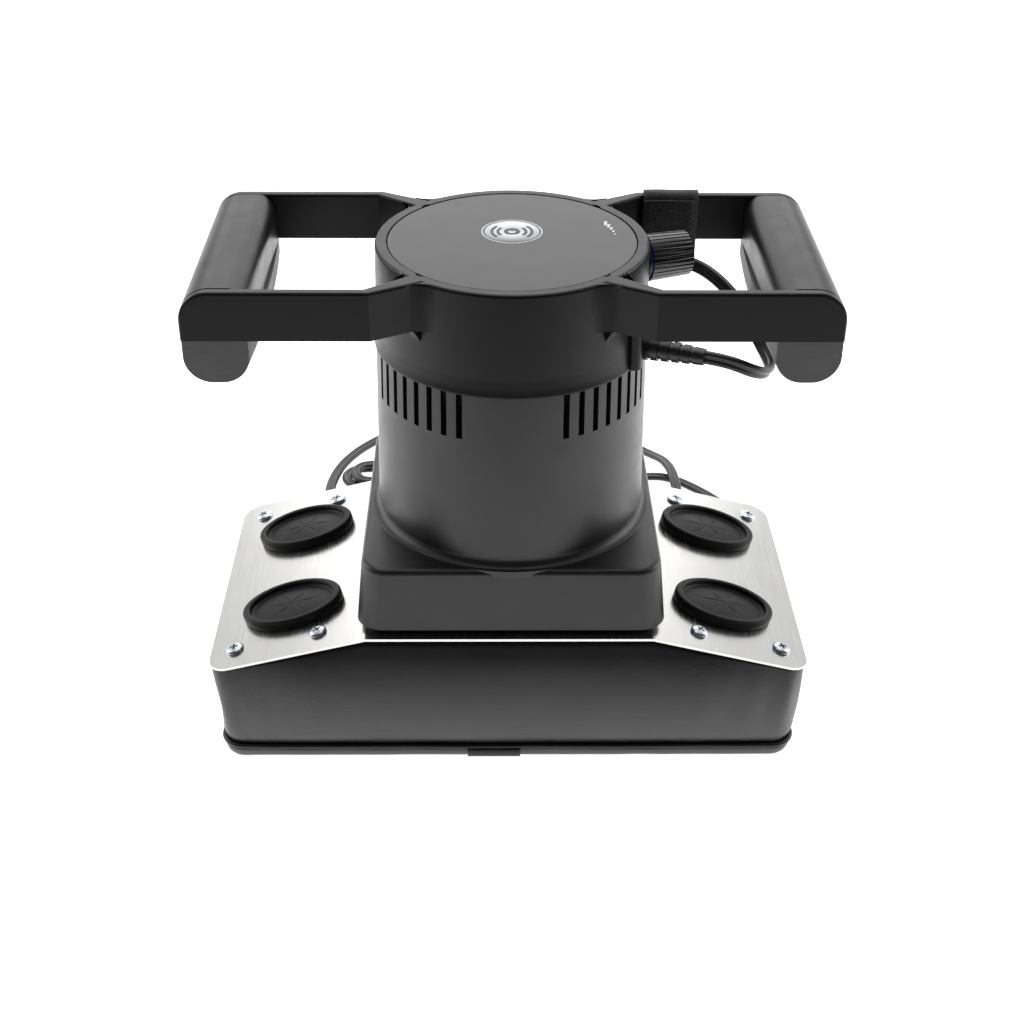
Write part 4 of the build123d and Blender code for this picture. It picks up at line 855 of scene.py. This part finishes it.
def make_cord(materials):
    """The flat lead from strain relief to plug: its width is upright at first and lies flat on the floor."""
    line = route_spline()
    count = len(line)
    tangents = [(line[min(i + 1, count - 1)] - line[max(i - 1, 0)]).normalized() for i in range(count)]
    lengths = [0.0]
    for a, b in zip(line, line[1:]):
        lengths.append(lengths[-1] + (b - a).length)
    floor_start = next(i for i in range(count) if line[i].z < 0.02)
    # carry the width's direction along the curve without twist
    widths = [UP - tangents[0] * tangents[0].z]
    for i in range(1, floor_start + 1):
        turn = tangents[i - 1].rotation_difference(tangents[i])
        width = turn @ widths[-1]
        widths.append((width - tangents[i] * width.dot(tangents[i])).normalized())
    widths[0].normalize()
    flat = UP.cross(tangents[floor_start]).normalized()
    if flat.dot(widths[floor_start]) < 0:
        flat = -flat
    sign = 1 if tangents[floor_start].cross(widths[floor_start]).dot(flat) > 0 else -1
    twist = sign * widths[floor_start].angle(flat)
    for i in range(floor_start + 1):
        share = lengths[i] / lengths[floor_start]
        ease = share * share * (3 - 2 * share)
        widths[i] = Matrix.Rotation(twist * ease, 3, tangents[i]) @ widths[i]
    for i in range(floor_start + 1, count):
        width = UP.cross(tangents[i]).normalized()
        widths.append(width if width.dot(widths[-1]) > 0 else -width)
    section = cord_section()
    rings = []
    for point, tangent, width in zip(line, tangents, widths):
        through = tangent.cross(width).normalized()
        rings.append([point + width * a + through * b for a, b in section])
    verts, faces = skin_rings(rings)
    cord = add_piece("power_lead", verts, faces, materials["cord_pvc"], "housing", sharp=70)
    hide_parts("power_cord", "cord_hank")
    print("cord length", round(lengths[-1], 3))


# ---------------------------------------------------------------- stage
def make_stage():
    """A white table with a painted pool of light: it glows near the object and turns darker and plain in
    front of it, and large soft lights around it.
    """
    floor = bpy.data.meshes.new("floor")
    half = 6.0
    corners = [(-half, -half, 0), (half, -half, 0), (half, half, 0), (-half, half, 0)]
    floor.from_pydata(corners, [], [(0, 1, 2, 3)])
    piece = bpy.data.objects.new("floor", floor)
    scene.collection.objects.link(piece)
    m = Nodes("floor_white")
    split = m.add("ShaderNodeSeparateXYZ")
    m.link(m.place, split.inputs["Vector"])
    # painted light: a glow that is strong near the object and fades out towards the front
    painted_glow = m.remap(split.outputs["Y"], -0.62, -0.33, 0.0, 1.0)
    painted_glow_and_tone = m.math("SUBTRACT", painted_glow, m.math("MULTIPLY", m.noise(3, 2), 0.03))
    # the floor's colour follows the painted glow, darker towards the front, with faint random tone on top
    m.two_tone(painted_glow_and_tone, (0.72, 0.72, 0.72), (0.88, 0.88, 0.88))
    m.link(painted_glow, m.shader.inputs["Emission Strength"])
    m.set(Roughness=0.9, Specular_IOR_Level=0.1, Emission_Color=(1, 1, 1, 1))
    floor.materials.append(m.material)
    world = bpy.data.worlds.new("studio")
    world.use_nodes = True
    tree = world.node_tree
    background = tree.nodes["Background"]
    background.inputs["Color"].default_value = (1, 1, 1, 1)
    direction = tree.nodes.new("ShaderNodeTexCoord")
    split = tree.nodes.new("ShaderNodeSeparateXYZ")
    fall = tree.nodes.new("ShaderNodeMapRange")
    for socket, number in zip(("From Min", "From Max", "To Min", "To Max"), (-0.35, 0.35, 0.09, 0.90)):
        fall.inputs[socket].default_value = number
    tree.links.new(direction.outputs["Generated"], split.inputs["Vector"])
    tree.links.new(split.outputs["Y"], fall.inputs["Value"])
    tree.links.new(fall.outputs["Result"], background.inputs["Strength"])
    scene.world = world
    for name, place, size, power in (
        ("left", (-1.9, 0.6, 0.9), (1.4, 1.4), 13),
        ("right", (1.9, 0.6, 0.9), (1.4, 1.4), 15),
        ("top", (0.0, 0.45, 1.9), (1.5, 1.5), 12),
        ("back", (0.0, 2.1, 1.35), (2.2, 2.2), 18),
    ):
        data = bpy.data.lights.new(name, "AREA")
        data.shape = "RECTANGLE"
        data.size, data.size_y = size
        data.energy = power
        light = bpy.data.objects.new(name, data)
        light.location = place
        aim = Vector((0, 0, 0.15)) - Vector(place)
        light.rotation_mode = "QUATERNION"
        light.rotation_quaternion = aim.to_track_quat("-Z", "Y")
        scene.collection.objects.link(light)
    scene.view_settings.view_transform = "Standard"


make_camera()
palette = make_materials()
dress_nodes(palette)
make_cord(palette)
make_skirt_edge(palette)
make_arm_fillets(palette)
make_emblem(palette)
make_pad(palette)
make_grommets(palette)
make_screws(palette)
make_straps(palette)
make_stage()
